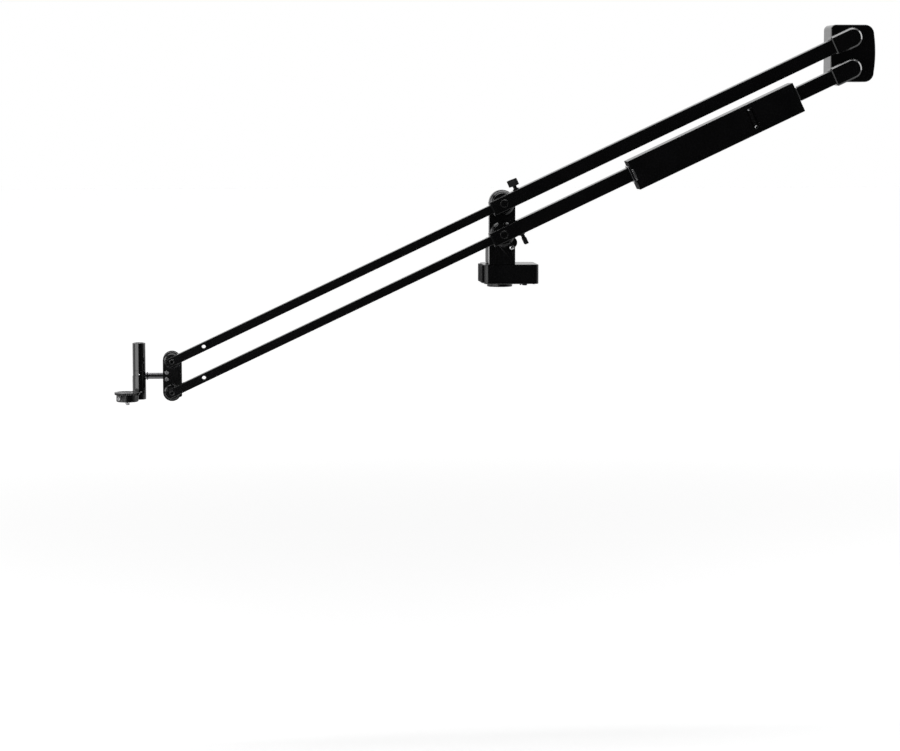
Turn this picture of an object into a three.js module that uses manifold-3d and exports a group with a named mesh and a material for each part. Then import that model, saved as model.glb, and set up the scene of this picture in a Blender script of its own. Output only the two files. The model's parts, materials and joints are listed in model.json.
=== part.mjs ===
// Camera jib crane: two parallel telescoping booms on a panning post, with a levelled front bracket,
// a rear bracket and a sliding counterweight. Millimetres, +Z up, origin where the pan axis meets the
// underside of the foot. The camera end points to -X and the counterweight end to +X.

import * as THREE from 'three';
import { mergeVertices } from 'three/addons/utils/BufferGeometryUtils.js';
import Module from 'manifold-3d';

const wasm = await Module();
wasm.setup();

// Driving sizes of the linkage
const boomTiltDegrees = 25.2;
const frontReach = 767;
const rearReach = 812;
const pivotSpacing = 65;
const lowerPivotHeight = 113.7;
const boomOffset = 76;

// Clearances shared by all pieces
const seatGap = 0.3;
const runGap = 0.5;
const cutOver = 1;

// Roundness, in steps of a full circle or of a corner
const fineSteps = 32;
const roundSteps = 20;
const smallSteps = 12;
const cornerSteps = 2;
const wideCornerSteps = 4;
const domeSteps = 12;
const keySteps = 6;

// Boom tubes
const tube = {
  rearSide: 30,
  rearWall: 2,
  rearCorner: 1.8,
  frontSide: 18,
  frontWall: 1.5,
  frontCorner: 1.3,
  mouthAhead: 24.5,
  frontBeyondPivot: 9,
  frontInside: 60,
  stopHoleBehindPivot: 73.4,
  stopHoleRadius: 4.2,
  endWall: 2,
  capRadius: 8.5,
  capRise: 1.2,
  capDish: 0.7,
  capRim: 1.6,
};

// Guides between the front and the rear tube
const guide = { bushLength: 30, flange: 3, shoeLength: 16 };

// Lock screw that clamps a front tube
const lock = {
  behindPivot: 35.5,
  stemRadius: 4,
  stemOut: 8.5,
  headWidth: 25,
  headThickness: 8,
  headHeight: 14.5,
  headCorner: 1.5,
  upperTurnDegrees: -53,
  lowerTurnDegrees: 90,
  washerRadius: 6.5,
  washerHeight: 2,
};

// Flanged axle on the far side of each tube
const axle = {
  columnFlange: 22,
  columnFlangeThickness: 10.2,
  columnRadius: 6,
  frontFlange: 12,
  frontFlangeThickness: 5.2,
  frontRadius: 4,
  rearRadius: 6,
  endHeadRadius: 9,
  endHeadThickness: 3.5,
};

// Foot that stands on the tripod
const foot = {
  radius: 27,
  thickness: 7.2,
  chamfer: 0.8,
  spindleRadius: 9,
  spindleTop: 45.3,
  boreRadius: 5.5,
  threadRadius: 4.8,
  threadDepth: 9,
  slotWidth: 4,
  slotDepth: 3,
  slotHeight: 2.5,
  slotCount: 4,
  slotTurnDegrees: -118,
};

// Base housing that pans on the foot
const base = {
  left: 37.5,
  right: 78,
  depth: 100,
  bottom: 7.7,
  top: 49,
  wall: 3,
  corner: 9,
  edge: 1.5,
  plateThickness: 3,
  bearingOuter: 14,
  bearingWall: 2.2,
  bearingThickness: 5.5,
  nutRadius: 12,
  nutThickness: 3,
  standoffRadius: 2.5,
};

// Battery pack that slides into the left end of the base and closes it with its cap
const battery = {
  sideRoom: 16,
  height: 32.6,
  depth: 13.5,
  pocketWall: 1.5,
  bottom: 12.8,
  capThickness: 4.2,
  capMargin: 2,
  corner: 2.5,
  ribCount: 9,
  ribWidth: 3,
  ribDepth: 1,
};

// Gears: modules and counts of teeth
const gears = {
  panModule: 1,
  panWheelTeeth: 36,
  panPinionTeeth: 18,
  panBottom: 18,
  panWidth: 5,
  tiltModule: 1,
  tiltWheelTeeth: 40,
  tiltPinionTeeth: 16,
  tiltWidth: 5.5,
  pressureDegrees: 20,
  addendumShare: 0.95,
  dedendumShare: 1.25,
  backlashShare: 0.06,
  shaftRadius: 2.5,
};

// Motors and control board
const drive = {
  panMotorRadius: 10,
  panMotorLength: 20,
  tiltMotorRadius: 14,
  tiltMotorLength: 38,
  motorRim: 2,
  boardInset: 12,
  boardWidth: 27,
  boardThickness: 1.6,
  boardDrop: 8.4,
  chipSide: 11,
  chipHeight: 2,
  chipPitch: 20,
  connectorWidth: 16,
  connectorHeight: 5,
};

// Post that carries the booms
const column = {
  halfWidth: 27.5,
  thickness: 18,
  lipRise: 5,
  lipRadius: 26.5,
  bearingOuter: 13,
  caseDepth: 60,
  caseDrop: 10.7,
  caseWall: 3,
  gearCover: 24.5,
  gearRoom: 11,
  coverThickness: 3,
  ventCount: 5,
  ventWidth: 2.5,
  ventPitch: 6,
  ventHeight: 24,
  socketX: 20.6,
  socketDrop: 28.2,
  socketHead: 6.3,
  socketRecess: 9,
  socketDepth: 2.5,
  socketShaft: 3,
  socketLength: 6,
  hexRadius: 3,
};

// Thumb wheel of the tilt brake, let into the post's right edge
const brake = { x: 20.5, drop: 18.7, radius: 12.5, width: 6.4, setBack: 9, pinRadius: 2.2 };

// Pan lock lever under the base
const panLock = {
  x: 48.5,
  pivotBack: 25,
  tipBack: 4,
  radius: 4.75,
  thickness: 2.4,
  pinRadius: 2,
  pinHead: 1.6,
  stopAside: 9,
  stopRadius: 1.5,
};

// Front bracket, levelled by the booms
const front = {
  radius: 19,
  plate: 7,
  lipRise: 2.5,
  lipRadius: 16.3,
  blockDepth: 22,
  blockHeight: 46,
  blockWidth: 36,
  backPlate: 5,
  backRight: 20.5,
  tabDrop: 13.5,
  tabCorner: 4,
  bearingOuter: 8,
  slitHeight: 1.5,
  slitDepth: 16,
};

// Rod, mast and the arm that carries the camera head
const mast = {
  rodRadius: 6.5,
  rodIntoBlock: 12,
  rodIntoMast: 8,
  ahead: 68.4,
  lowerRadius: 14.15,
  upperRadius: 13.5,
  below: 48.7,
  above: 69.7,
  joint: 5,
  grooveRise: 2.5,
  grooveHalf: 1.5,
  grooveDepth: 0.8,
  chamfer: 1.2,
  capDish: 0.8,
  capRim: 2.5,
};
const head = {
  ahead: 24.3,
  blockRadius: 23.1,
  blockTop: 35.5,
  blockBottom: 49.8,
  edge: 1.2,
  neckWidth: 17,
  neckDrop: 3,
  lugLeft: 1,
  lugRight: 7,
  lugThickness: 4,
  lugTop: 31,
  wheelRadius: 26.5,
  wheelThickness: 4.7,
  wheelDish: 1,
  wheelRim: 5,
  studRadius: 4.76,
  studBelow: 7,
};

// Rear sleeves and rear bracket
const rear = {
  sleeveAhead: 44,
  sleeveRadius: 20.5,
  sleeveHalfWidth: 17.25,
  sleeveEdge: 2.4,
  socketDepth: 24,
  axleInto: 11,
  left: 38.8,
  right: 54.5,
  bulge: 3,
  aboveUpper: 28,
  belowLower: 27.5,
  depth: 69,
  wall: 3,
  nearWall: 4,
  leftCorner: 11,
  rightCorner: 20,
  bearingOuter: 10,
  bossDepth: 6,
  bossWall: 2.5,
  cover: 3,
};

// Counterweight that slides on the lower rear tube
const weight = {
  aheadOfRear: 130,
  shortLength: 99,
  longLength: 285,
  below: 36.9,
  above: 28.4,
  halfWidth: 25,
  wall: 2.5,
  endWall: 3,
  corner: 1.5,
  seamGap: 0.8,
  barThickness: 6.3,
  barInset: 2,
  lowerBarHeight: 14,
  leverAhead: 8,
  leverTop: 20.6,
  leverBottom: 27.5,
  leverWidth: 8,
  leverThickness: 3,
  leverRing: 2.4,
  pocketDepth: 5,
  pocketWall: 1.2,
  pocketMargin: 2.4,
  pinRadius: 1.2,
  pinInto: 0.6,
  pinDrop: 2,
  collarLength: 4,
  collarWall: 3.5,
  collarCorner: 7,
};

// Places worked out from the sizes above
const degree = Math.PI / 180;
const boomTilt = boomTiltDegrees * degree;
const upperPivotHeight = lowerPivotHeight + pivotSpacing;
const boomPlane = -boomOffset;
const rearHalf = tube.rearSide / 2;
const frontHalf = tube.frontSide / 2;
const columnNear = boomPlane + rearHalf + seatGap + axle.columnFlangeThickness + runGap;
const columnFar = columnNear + column.thickness;
const caseFar = columnFar + column.caseDepth;
const gearRoomFar = columnFar + column.gearRoom;
const baseNear = columnNear;
const baseFar = baseNear + base.depth;
const baseMiddle = (baseNear + baseFar) / 2;
const baseCeiling = base.top - base.wall;
const caseTop = lowerPivotHeight - column.caseDrop;
const socketZ = lowerPivotHeight - column.socketDrop;
const brakeZ = lowerPivotHeight - brake.drop;
const panDistance = gears.panModule * (gears.panWheelTeeth + gears.panPinionTeeth) / 2;
const tiltDistance = gears.tiltModule * (gears.tiltWheelTeeth + gears.tiltPinionTeeth) / 2;
const tiltMotorHeight = lowerPivotHeight - tiltDistance;
const frontPlateNear = frontHalf + seatGap + axle.frontFlangeThickness + runGap;
const blockNear = frontPlateNear + front.plate + seatGap;
const backPlateNear = blockNear + front.blockDepth + seatGap;
const rodY = blockNear + front.blockDepth / 2;
const rodZ = pivotSpacing / 2;
const headTop = rodZ - head.blockTop;
const headBottom = rodZ - head.blockBottom;
const mastX = -mast.ahead;
const headX = mastX - head.ahead;
const rearNear = rear.sleeveHalfWidth + runGap;
const rearFar = rearNear + rear.depth;
const weightEnd = rearReach - weight.aheadOfRear;
const weightSeam = weightEnd - weight.shortLength;
const weightStart = weightSeam - weight.longLength;
const leverX = weightSeam - weight.leverAhead;

// Solids: closed meshes that can be joined and cut

function toSolid(geometry) {
  const bare = geometry.clone();
  bare.deleteAttribute('normal');
  bare.deleteAttribute('uv');
  const merged = mergeVertices(bare);
  const points = new Float32Array(merged.attributes.position.array);
  const corners = [];
  const source = merged.index.array;
  let volume = 0;
  const a = new THREE.Vector3();
  const b = new THREE.Vector3();
  const c = new THREE.Vector3();
  for (let i = 0; i < source.length; i += 3) {
    const [p, q, r] = [source[i], source[i + 1], source[i + 2]];
    if (p === q || q === r || r === p) continue;
    a.fromArray(points, 3 * p);
    b.fromArray(points, 3 * q);
    c.fromArray(points, 3 * r);
    volume += a.dot(b.cross(c));
    corners.push(p, q, r);
  }
  if (volume < 0) corners.reverse();
  const mesh = new wasm.Mesh({ numProp: 3, vertProperties: points, triVerts: new Uint32Array(corners) });
  return new wasm.Manifold(mesh);
}

function join(first, ...others) {
  return others.reduce((whole, other) => whole.add(other), first);
}

function cut(whole, ...tools) {
  return tools.reduce((rest, tool) => rest.subtract(tool), whole);
}

function toGeometry(solid) {
  const mesh = solid.getMesh();
  const geometry = new THREE.BufferGeometry();
  geometry.setAttribute('position', new THREE.BufferAttribute(new Float32Array(mesh.vertProperties), 3));
  geometry.setIndex(new THREE.BufferAttribute(new Uint32Array(mesh.triVerts), 1));
  geometry.computeVertexNormals();
  return geometry;
}

// Directions: which way an extruded outline or a turned profile points
const outlineAxes = {
  x: [new THREE.Vector3(0, 1, 0), new THREE.Vector3(0, 0, 1), new THREE.Vector3(1, 0, 0)],
  y: [new THREE.Vector3(-1, 0, 0), new THREE.Vector3(0, 0, 1), new THREE.Vector3(0, 1, 0)],
  z: [new THREE.Vector3(1, 0, 0), new THREE.Vector3(0, 1, 0), new THREE.Vector3(0, 0, 1)],
};

function box(x0, x1, y0, y1, z0, z1) {
  const geometry = new THREE.BoxGeometry(x1 - x0, y1 - y0, z1 - z0);
  geometry.translate((x0 + x1) / 2, (y0 + y1) / 2, (z0 + z1) / 2);
  return toSolid(geometry);
}

// An outline drawn in X and Z (axis y), Y and Z (axis x) or X and Y (axis z), filled from low to high.
// An edge above zero rounds both rims.
function fill(shape, axis, low, high, edge = 0, steps = cornerSteps) {
  const geometry = new THREE.ExtrudeGeometry(shape, {
    depth: high - low - 2 * edge,
    curveSegments: steps,
    bevelEnabled: edge > 0,
    bevelThickness: edge,
    bevelSize: edge,
    bevelOffset: -edge,
    bevelSegments: 1,
  });
  geometry.translate(0, 0, low + edge);
  if (axis === 'y') geometry.scale(-1, 1, 1);
  geometry.applyMatrix4(new THREE.Matrix4().makeBasis(...outlineAxes[axis]));
  return toSolid(geometry);
}

// A profile of [radius, height] points turned about an axis through the given centre
function turn(points, axis, centre, steps = roundSteps) {
  const geometry = new THREE.LatheGeometry(points.map(([r, h]) => new THREE.Vector2(r, h)), steps);
  if (axis === 'z') geometry.rotateX(Math.PI / 2);
  if (axis === 'x') geometry.rotateZ(-Math.PI / 2);
  geometry.translate(...centre);
  return toSolid(geometry);
}

function rodAlong(axis, radius, low, high, centre, steps = roundSteps) {
  return turn([[0, low], [radius, low], [radius, high], [0, high]], axis, centre, steps);
}

// The flats of a faceted hole lie on its named radius, so a shaft always clears them
function holeRadius(radius, steps) {
  return radius / Math.cos(Math.PI / steps);
}

function boreAlong(axis, radius, low, high, centre, steps = roundSteps) {
  return rodAlong(axis, holeRadius(radius, steps), low, high, centre, steps);
}

function ringAlong(axis, inner, outer, low, high, centre, steps = smallSteps) {
  const room = holeRadius(inner, steps);
  return turn([[room, low], [outer, low], [outer, high], [room, high], [room, low]], axis, centre, steps);
}

// Outlines

function roundedBox(u0, u1, v0, v1, radius) {
  const shape = new THREE.Shape();
  const quarter = Math.PI / 2;
  shape.absarc(u1 - radius, v0 + radius, radius, -quarter, 0);
  shape.absarc(u1 - radius, v1 - radius, radius, 0, quarter);
  shape.absarc(u0 + radius, v1 - radius, radius, quarter, Math.PI);
  shape.absarc(u0 + radius, v0 + radius, radius, Math.PI, 3 * quarter);
  shape.closePath();
  return shape;
}

function squareRing(side, inner, corner) {
  const shape = roundedBox(-side / 2, side / 2, -side / 2, side / 2, corner);
  const innerCorner = Math.max(corner - (side - inner) / 2, corner / 4);
  shape.holes.push(roundedBox(-inner / 2, inner / 2, -inner / 2, inner / 2, innerCorner));
  return shape;
}

// A slot shape with round ends centred on u, from one height to another
function stadium(u, low, high, radius) {
  const shape = new THREE.Shape();
  shape.absarc(u, low, radius, -Math.PI, 0);
  shape.absarc(u, high, radius, 0, Math.PI);
  shape.closePath();
  return shape;
}

// Gear outline: each flank is the chord of its involute from the base circle to the tip
function gearOutline(module, teeth, phase) {
  const pitch = module * teeth / 2;
  const tip = pitch + module * gears.addendumShare;
  const root = pitch - module * gears.dedendumShare;
  const baseRadius = pitch * Math.cos(gears.pressureDegrees * degree);
  const involute = (radius) => Math.tan(Math.acos(baseRadius / radius)) - Math.acos(baseRadius / radius);
  const halfTooth = Math.PI / (2 * teeth) - gears.backlashShare * module / pitch;
  const atRoot = halfTooth + involute(pitch) - involute(Math.max(baseRadius, root));
  const atTip = halfTooth + involute(pitch) - involute(tip);
  const corners = [];
  for (let tooth = 0; tooth < teeth; tooth += 1) {
    const middle = phase + 2 * Math.PI * tooth / teeth;
    corners.push([root, middle - atRoot], [tip, middle - atTip]);
    corners.push([tip, middle + atTip], [root, middle + atRoot]);
  }
  const points = corners.map(([r, angle]) => new THREE.Vector2(r * Math.cos(angle), r * Math.sin(angle)));
  return new THREE.Shape(points);
}

// Materials and nodes

const finishes = {
  satinBlack: { color: 0x0b0b0c, roughness: 0.38, metalness: 0.55 },
  glossBlack: { color: 0x070708, roughness: 0.22, metalness: 0.35 },
  blackPlastic: { color: 0x101011, roughness: 0.6, metalness: 0 },
  darkSteel: { color: 0x4a4b4e, roughness: 0.3, metalness: 0.9 },
  brightSteel: { color: 0xb4b5b8, roughness: 0.25, metalness: 1 },
  bronze: { color: 0x9a7444, roughness: 0.4, metalness: 0.9 },
  board: { color: 0x14502c, roughness: 0.5, metalness: 0.1 },
  cast: { color: 0x55565a, roughness: 0.7, metalness: 0.7 },
};

function node(name, solid, finish) {
  const mesh = new THREE.Mesh(toGeometry(solid), new THREE.MeshStandardMaterial(finishes[finish]));
  mesh.name = name;
  return mesh;
}

// Foot, spindle and fixed pan gear

function footSolid() {
  const profile = [
    [foot.threadRadius, 0], [foot.radius - foot.chamfer, 0], [foot.radius, foot.chamfer],
    [foot.radius, foot.thickness - foot.chamfer], [foot.radius - foot.chamfer, foot.thickness],
    [foot.spindleRadius, foot.thickness], [foot.spindleRadius, foot.spindleTop],
    [foot.boreRadius, foot.spindleTop], [foot.boreRadius, foot.threadDepth],
    [foot.threadRadius, foot.threadDepth], [foot.threadRadius, 0],
  ];
  let solid = turn(profile, 'z', [0, 0, 0], fineSteps);
  for (let i = 0; i < foot.slotCount; i += 1) {
    const slot = new THREE.BoxGeometry(2 * foot.slotDepth, foot.slotWidth, 2 * foot.slotHeight);
    slot.translate(foot.radius, 0, 0);
    slot.rotateZ(foot.slotTurnDegrees * degree + 2 * Math.PI * i / foot.slotCount);
    solid = cut(solid, toSolid(slot));
  }
  return solid;
}

function panWheelSolid() {
  const shape = gearOutline(gears.panModule, gears.panWheelTeeth, 0);
  const wheel = fill(shape, 'z', gears.panBottom, gears.panBottom + gears.panWidth);
  const bore = boreAlong('z', foot.spindleRadius + seatGap, 0, base.top, [0, 0, 0]);
  return cut(wheel, bore);
}

function spindleNutSolid() {
  const top = foot.spindleTop;
  const low = top - base.nutThickness;
  return ringAlong('z', foot.spindleRadius + seatGap, base.nutRadius, low, top, [0, 0, 0]);
}

// Base housing, its bottom plate and what it holds

const upperBearingTop = foot.spindleTop - base.nutThickness - seatGap;
const seatRadius = base.bearingOuter + seatGap;
const seatOuter = seatRadius + base.bearingWall;
const plateTop = base.bottom + base.plateThickness;

function batteryPocket(margin) {
  return {
    left: -base.left,
    right: -base.left + battery.depth + seatGap + margin,
    near: baseNear + battery.sideRoom - seatGap - margin,
    far: baseFar - battery.sideRoom + seatGap + margin,
    low: battery.bottom - seatGap - margin,
    high: battery.bottom + battery.height + seatGap + margin,
  };
}

function boardCorners() {
  const right = base.right - base.wall - drive.boardDrop / 2;
  const left = right - drive.boardWidth;
  return { left, right, near: baseNear + drive.boardInset, far: baseFar - drive.boardInset };
}

function baseHousingSolid() {
  const outer = roundedBox(-base.left, base.right, baseNear, baseFar, base.corner);
  const innerCorner = base.corner - base.wall;
  const inner = roundedBox(-base.left + base.wall, base.right - base.wall,
    baseNear + base.wall, baseFar - base.wall, innerCorner);
  const shell = cut(
    fill(outer, 'z', base.bottom, base.top, base.edge, wideCornerSteps),
    fill(inner, 'z', base.bottom - cutOver, baseCeiling, 0, wideCornerSteps),
  );
  const lining = batteryPocket(battery.pocketWall);
  const room = batteryPocket(0);
  const seat = ringAlong('z', seatRadius, seatOuter, upperBearingTop - base.bearingThickness,
    baseCeiling + seatGap, [0, 0, 0], roundSteps);
  const posts = boardPostPlaces().map(([x, y]) => rodAlong('z', base.standoffRadius,
    baseCeiling - drive.boardDrop, baseCeiling + seatGap, [x, y, 0], smallSteps));
  const pocket = box(lining.left, lining.right, lining.near, lining.far, lining.low, lining.high);
  const opening = box(room.left - cutOver, room.right, room.near, room.far, room.low, room.high);
  return cut(join(shell, seat, pocket, ...posts), opening);
}

function boardPostPlaces() {
  const board = boardCorners();
  const inset = 2 * base.standoffRadius;
  return [
    [board.left + inset, board.near + inset], [board.right - inset, board.near + inset],
    [board.left + inset, board.far - inset], [board.right - inset, board.far - inset],
  ];
}

function bottomPlateSolid() {
  const edge = base.wall + seatGap;
  const outline = roundedBox(-base.left + edge, base.right - edge, baseNear + edge, baseFar - edge,
    base.corner - edge);
  const plate = fill(outline, 'z', base.bottom, plateTop, 0, wideCornerSteps);
  const seat = ringAlong('z', seatRadius, seatOuter, plateTop - seatGap,
    plateTop + base.bearingThickness, [0, 0, 0], roundSteps);
  const hole = boreAlong('z', foot.spindleRadius + runGap, 0, base.top, [0, 0, 0]);
  const pivotPin = turn([
    [0, base.bottom - panLock.thickness - 2 * seatGap - panLock.pinHead / 2],
    [panLock.pinRadius, base.bottom - panLock.thickness - 2 * seatGap - panLock.pinHead / 2],
    [panLock.pinRadius, base.bottom + seatGap], [0, base.bottom + seatGap],
  ], 'z', [panLock.x, baseNear + panLock.pivotBack, 0], smallSteps);
  const stop = rodAlong('z', panLock.stopRadius, base.bottom - panLock.thickness, base.bottom + seatGap,
    [panLock.x - panLock.stopAside, baseNear + 2 * panLock.tipBack, 0], smallSteps);
  return cut(join(plate, seat, pivotPin, stop), hole);
}

function panBearingSolid(low) {
  const high = low + base.bearingThickness - seatGap;
  return ringAlong('z', foot.spindleRadius + seatGap, base.bearingOuter, low, high, [0, 0, 0], roundSteps);
}

function panMotorSolid() {
  const top = baseCeiling - seatGap;
  const bottom = top - drive.panMotorLength;
  const shaftRoom = gears.shaftRadius + seatGap;
  const rim = drive.motorRim;
  return turn([
    [shaftRoom, bottom], [drive.panMotorRadius - rim, bottom], [drive.panMotorRadius, bottom + rim],
    [drive.panMotorRadius, top], [0, top], [0, bottom + 4 * rim], [shaftRoom, bottom + 4 * rim],
    [shaftRoom, bottom],
  ], 'z', [panDistance, 0, 0]);
}

function panPinionSolid() {
  const teeth = gears.panPinionTeeth;
  const shape = gearOutline(gears.panModule, teeth, Math.PI + Math.PI / teeth);
  const low = gears.panBottom;
  const wheel = fill(shape, 'z', low, low + gears.panWidth);
  const shaftTop = baseCeiling - drive.panMotorLength + 2 * drive.motorRim;
  const shaft = rodAlong('z', gears.shaftRadius, low, shaftTop, [0, 0, 0], smallSteps);
  return join(wheel, shaft).translate([panDistance, 0, 0]);
}

function controlBoardSolid() {
  const board = boardCorners();
  const top = baseCeiling - drive.boardDrop - seatGap;
  const bottom = top - drive.boardThickness;
  const plate = box(board.left, board.right, board.near, board.far, bottom, top);
  const middle = (board.left + board.right) / 2;
  const half = drive.chipSide / 2;
  const chips = [-1, 0, 1].map((step) => {
    const y = baseMiddle + step * drive.chipPitch;
    return box(middle - half, middle + half, y - half, y + half, bottom - drive.chipHeight, bottom + seatGap);
  });
  const plugHalf = drive.connectorWidth / 2;
  const plug = box(board.left, board.left + drive.connectorHeight, baseMiddle - plugHalf,
    baseMiddle + plugHalf, bottom - drive.connectorHeight, bottom + seatGap);
  return join(plate, plug, ...chips);
}

function batterySolid() {
  const near = baseNear + battery.sideRoom;
  const far = baseFar - battery.sideRoom;
  const block = box(-base.left - cutOver, -base.left + battery.depth, near, far, battery.bottom,
    battery.bottom + battery.height);
  const capNear = baseNear + base.corner;
  const capFar = baseFar - base.corner;
  const low = base.bottom + battery.capMargin;
  const high = base.top - battery.capMargin;
  const inner = -base.left - seatGap;
  const face = inner - battery.capThickness;
  const outline = roundedBox(capNear, capFar, low, high, battery.corner);
  const cap = fill(outline, 'x', face, inner, battery.corner / 4);
  let pack = join(block, cap);
  const pitch = (capFar - capNear) / (battery.ribCount + 1);
  for (let i = 1; i <= battery.ribCount; i += 1) {
    const y = capNear + i * pitch;
    pack = cut(pack, box(face - cutOver, face + battery.ribDepth, y - battery.ribWidth / 2,
      y + battery.ribWidth / 2, low + battery.corner, high - battery.corner));
  }
  return pack;
}

function panLockSolid() {
  const top = base.bottom - seatGap;
  const pivotY = baseNear + panLock.pivotBack;
  const outline = stadium(panLock.x, baseNear + panLock.tipBack, pivotY, panLock.radius);
  const lever = fill(outline, 'z', top - panLock.thickness, top, 0, wideCornerSteps);
  return cut(lever, boreAlong('z', panLock.pinRadius + seatGap, 0, base.top,
    [panLock.x, pivotY, 0], smallSteps));
}

// Column plate, case, motor and bearings

function columnPlateSolid() {
  const bottom = base.top + seatGap;
  const outline = new THREE.Shape();
  outline.moveTo(-column.halfWidth, bottom);
  outline.lineTo(column.halfWidth, bottom);
  outline.absarc(0, upperPivotHeight, column.halfWidth, 0, Math.PI);
  outline.closePath();
  let plate = fill(outline, 'y', columnNear, columnFar, 0, domeSteps);
  for (const height of [lowerPivotHeight, upperPivotHeight]) {
    const centre = [0, 0, height];
    const lip = ringAlong('y', axle.columnFlange + 2 * runGap, column.lipRadius,
      columnNear - column.lipRise, columnNear + seatGap, centre, fineSteps);
    const seat = boreAlong('y', column.bearingOuter + seatGap, columnNear - cutOver,
      columnFar + cutOver, centre);
    plate = cut(join(plate, lip), seat);
  }
  const slotNear = columnNear + brake.setBack;
  const wheelRoom = boreAlong('y', brake.radius + runGap, slotNear, slotNear + brake.width + 2 * seatGap,
    [brake.x, 0, brakeZ]);
  const pinHole = boreAlong('y', brake.pinRadius + seatGap, slotNear - 3 * brake.pinRadius / 2,
    columnFar + cutOver, [brake.x, 0, brakeZ], smallSteps);
  const recess = boreAlong('y', column.socketRecess, columnNear - cutOver, columnNear + cutOver,
    [column.socketX, 0, socketZ]);
  const counterbore = boreAlong('y', column.socketHead + seatGap, columnNear - cutOver,
    columnNear + column.socketDepth + seatGap, [column.socketX, 0, socketZ]);
  const thread = boreAlong('y', column.socketShaft + seatGap, columnNear - cutOver,
    columnNear + column.socketLength + seatGap, [column.socketX, 0, socketZ], smallSteps);
  return cut(plate, wheelRoom, pinHole, recess, counterbore, thread);
}

function pivotBearingSolid(height) {
  return ringAlong('y', axle.columnRadius + seatGap, column.bearingOuter, columnNear + seatGap,
    columnFar - seatGap, [0, 0, height], roundSteps);
}

function columnCaseSolid() {
  const low = base.top + seatGap;
  const near = columnFar + seatGap;
  const edge = column.halfWidth;
  const inner = edge - column.caseWall;
  const outer = fill(roundedBox(-edge, edge, low, caseTop, column.caseWall), 'y', near, caseFar);
  const bulkheadFar = gearRoomFar + column.caseWall;
  const cover = rodAlong('y', column.gearCover, near, bulkheadFar, [0, 0, lowerPivotHeight], fineSteps);
  const room = (from, to) => box(-inner, inner, from, to, low + column.caseWall, caseTop - column.caseWall);
  const gearRoom = boreAlong('y', column.gearCover - column.caseWall / 2, near - cutOver, gearRoomFar,
    [0, 0, lowerPivotHeight], fineSteps);
  const shaftHole = boreAlong('y', 2 * gears.shaftRadius, near, caseFar, [0, 0, tiltMotorHeight], smallSteps);
  return cut(join(outer, cover), room(near - cutOver, gearRoomFar), room(bulkheadFar, caseFar + cutOver),
    gearRoom, shaftHole);
}

function caseCoverSolid() {
  const edge = column.halfWidth - column.caseWall - seatGap;
  const low = base.top + column.caseWall + 2 * seatGap;
  const high = caseTop - column.caseWall - seatGap;
  const cover = box(-edge, edge, caseFar - column.coverThickness, caseFar, low, high);
  const middle = (low + high) / 2;
  const vents = [];
  for (let i = 0; i < column.ventCount; i += 1) {
    const x = (i - (column.ventCount - 1) / 2) * column.ventPitch;
    const half = column.ventHeight / 2;
    vents.push(fill(stadium(x, middle - half, middle + half, column.ventWidth / 2), 'y',
      caseFar - column.coverThickness - cutOver, caseFar + cutOver, 0, wideCornerSteps));
  }
  return cut(cover, ...vents);
}

function tiltMotorSolid() {
  const near = gearRoomFar + column.caseWall + seatGap;
  const far = near + drive.tiltMotorLength;
  const rim = drive.motorRim;
  const shaftRoom = gears.shaftRadius + seatGap;
  return turn([
    [shaftRoom, near], [drive.tiltMotorRadius - rim, near], [drive.tiltMotorRadius, near + rim],
    [drive.tiltMotorRadius, far - rim], [drive.tiltMotorRadius - rim, far], [0, far],
    [0, near + 4 * rim], [shaftRoom, near + 4 * rim], [shaftRoom, near],
  ], 'y', [0, 0, tiltMotorHeight]);
}

const tiltGearNear = columnFar + 1.5 * runGap + seatGap;

function tiltPinionSolid() {
  const shape = gearOutline(gears.tiltModule, gears.tiltPinionTeeth, Math.PI / 2);
  const wheel = fill(shape, 'y', tiltGearNear, tiltGearNear + gears.tiltWidth);
  const shaftFar = gearRoomFar + column.caseWall + 3 * drive.motorRim;
  const shaft = rodAlong('y', gears.shaftRadius, tiltGearNear, shaftFar, [0, 0, 0], smallSteps);
  return join(wheel, shaft).translate([0, 0, tiltMotorHeight]);
}

function brakeWheelSolid() {
  const near = columnNear + brake.setBack + seatGap;
  const wheel = rodAlong('y', brake.radius, near, near + brake.width, [0, 0, 0], fineSteps);
  const pin = rodAlong('y', brake.pinRadius, near - brake.pinRadius, columnFar, [0, 0, 0], smallSteps);
  return join(wheel, pin).translate([brake.x, 0, brakeZ]);
}

function clampScrewSolid() {
  const near = columnNear;
  const socket = turn([
    [0, near + column.socketLength], [column.socketShaft, near + column.socketLength],
    [column.socketShaft, near + column.socketDepth], [column.socketHead, near + column.socketDepth],
    [column.socketHead, near], [0, near],
  ], 'y', [column.socketX, 0, socketZ]);
  const key = rodAlong('y', column.hexRadius, near - cutOver, near + cutOver,
    [column.socketX, 0, socketZ], keySteps);
  return cut(socket, key);
}

// Boom tubes, guides, axles, sleeves and lock screws, drawn along X about each boom's own axis

function rearTubeSolid(lockSide) {
  const inner = tube.rearSide - 2 * tube.rearWall;
  const end = rearReach - rear.sleeveAhead + rear.socketDepth;
  const body = fill(squareRing(tube.rearSide, inner, tube.rearCorner), 'x', -tube.mouthAhead, end);
  const near = -rearHalf;
  const face = near - tube.capRise;
  const rim = tube.capRadius - tube.capRim;
  const cap = turn([
    [0, face + tube.capDish], [rim, face + tube.capDish], [rim, face], [tube.capRadius, face],
    [tube.capRadius, near + tube.rearWall / 2], [0, near + tube.rearWall / 2],
  ], 'y', [0, 0, 0]);
  const lockHole = boreAlong('z', lock.stemRadius + seatGap, lockSide > 0 ? 0 : -tube.rearSide,
    lockSide > 0 ? tube.rearSide : 0, [lock.behindPivot, 0, 0], smallSteps);
  return cut(join(body, cap), lockHole);
}

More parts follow.
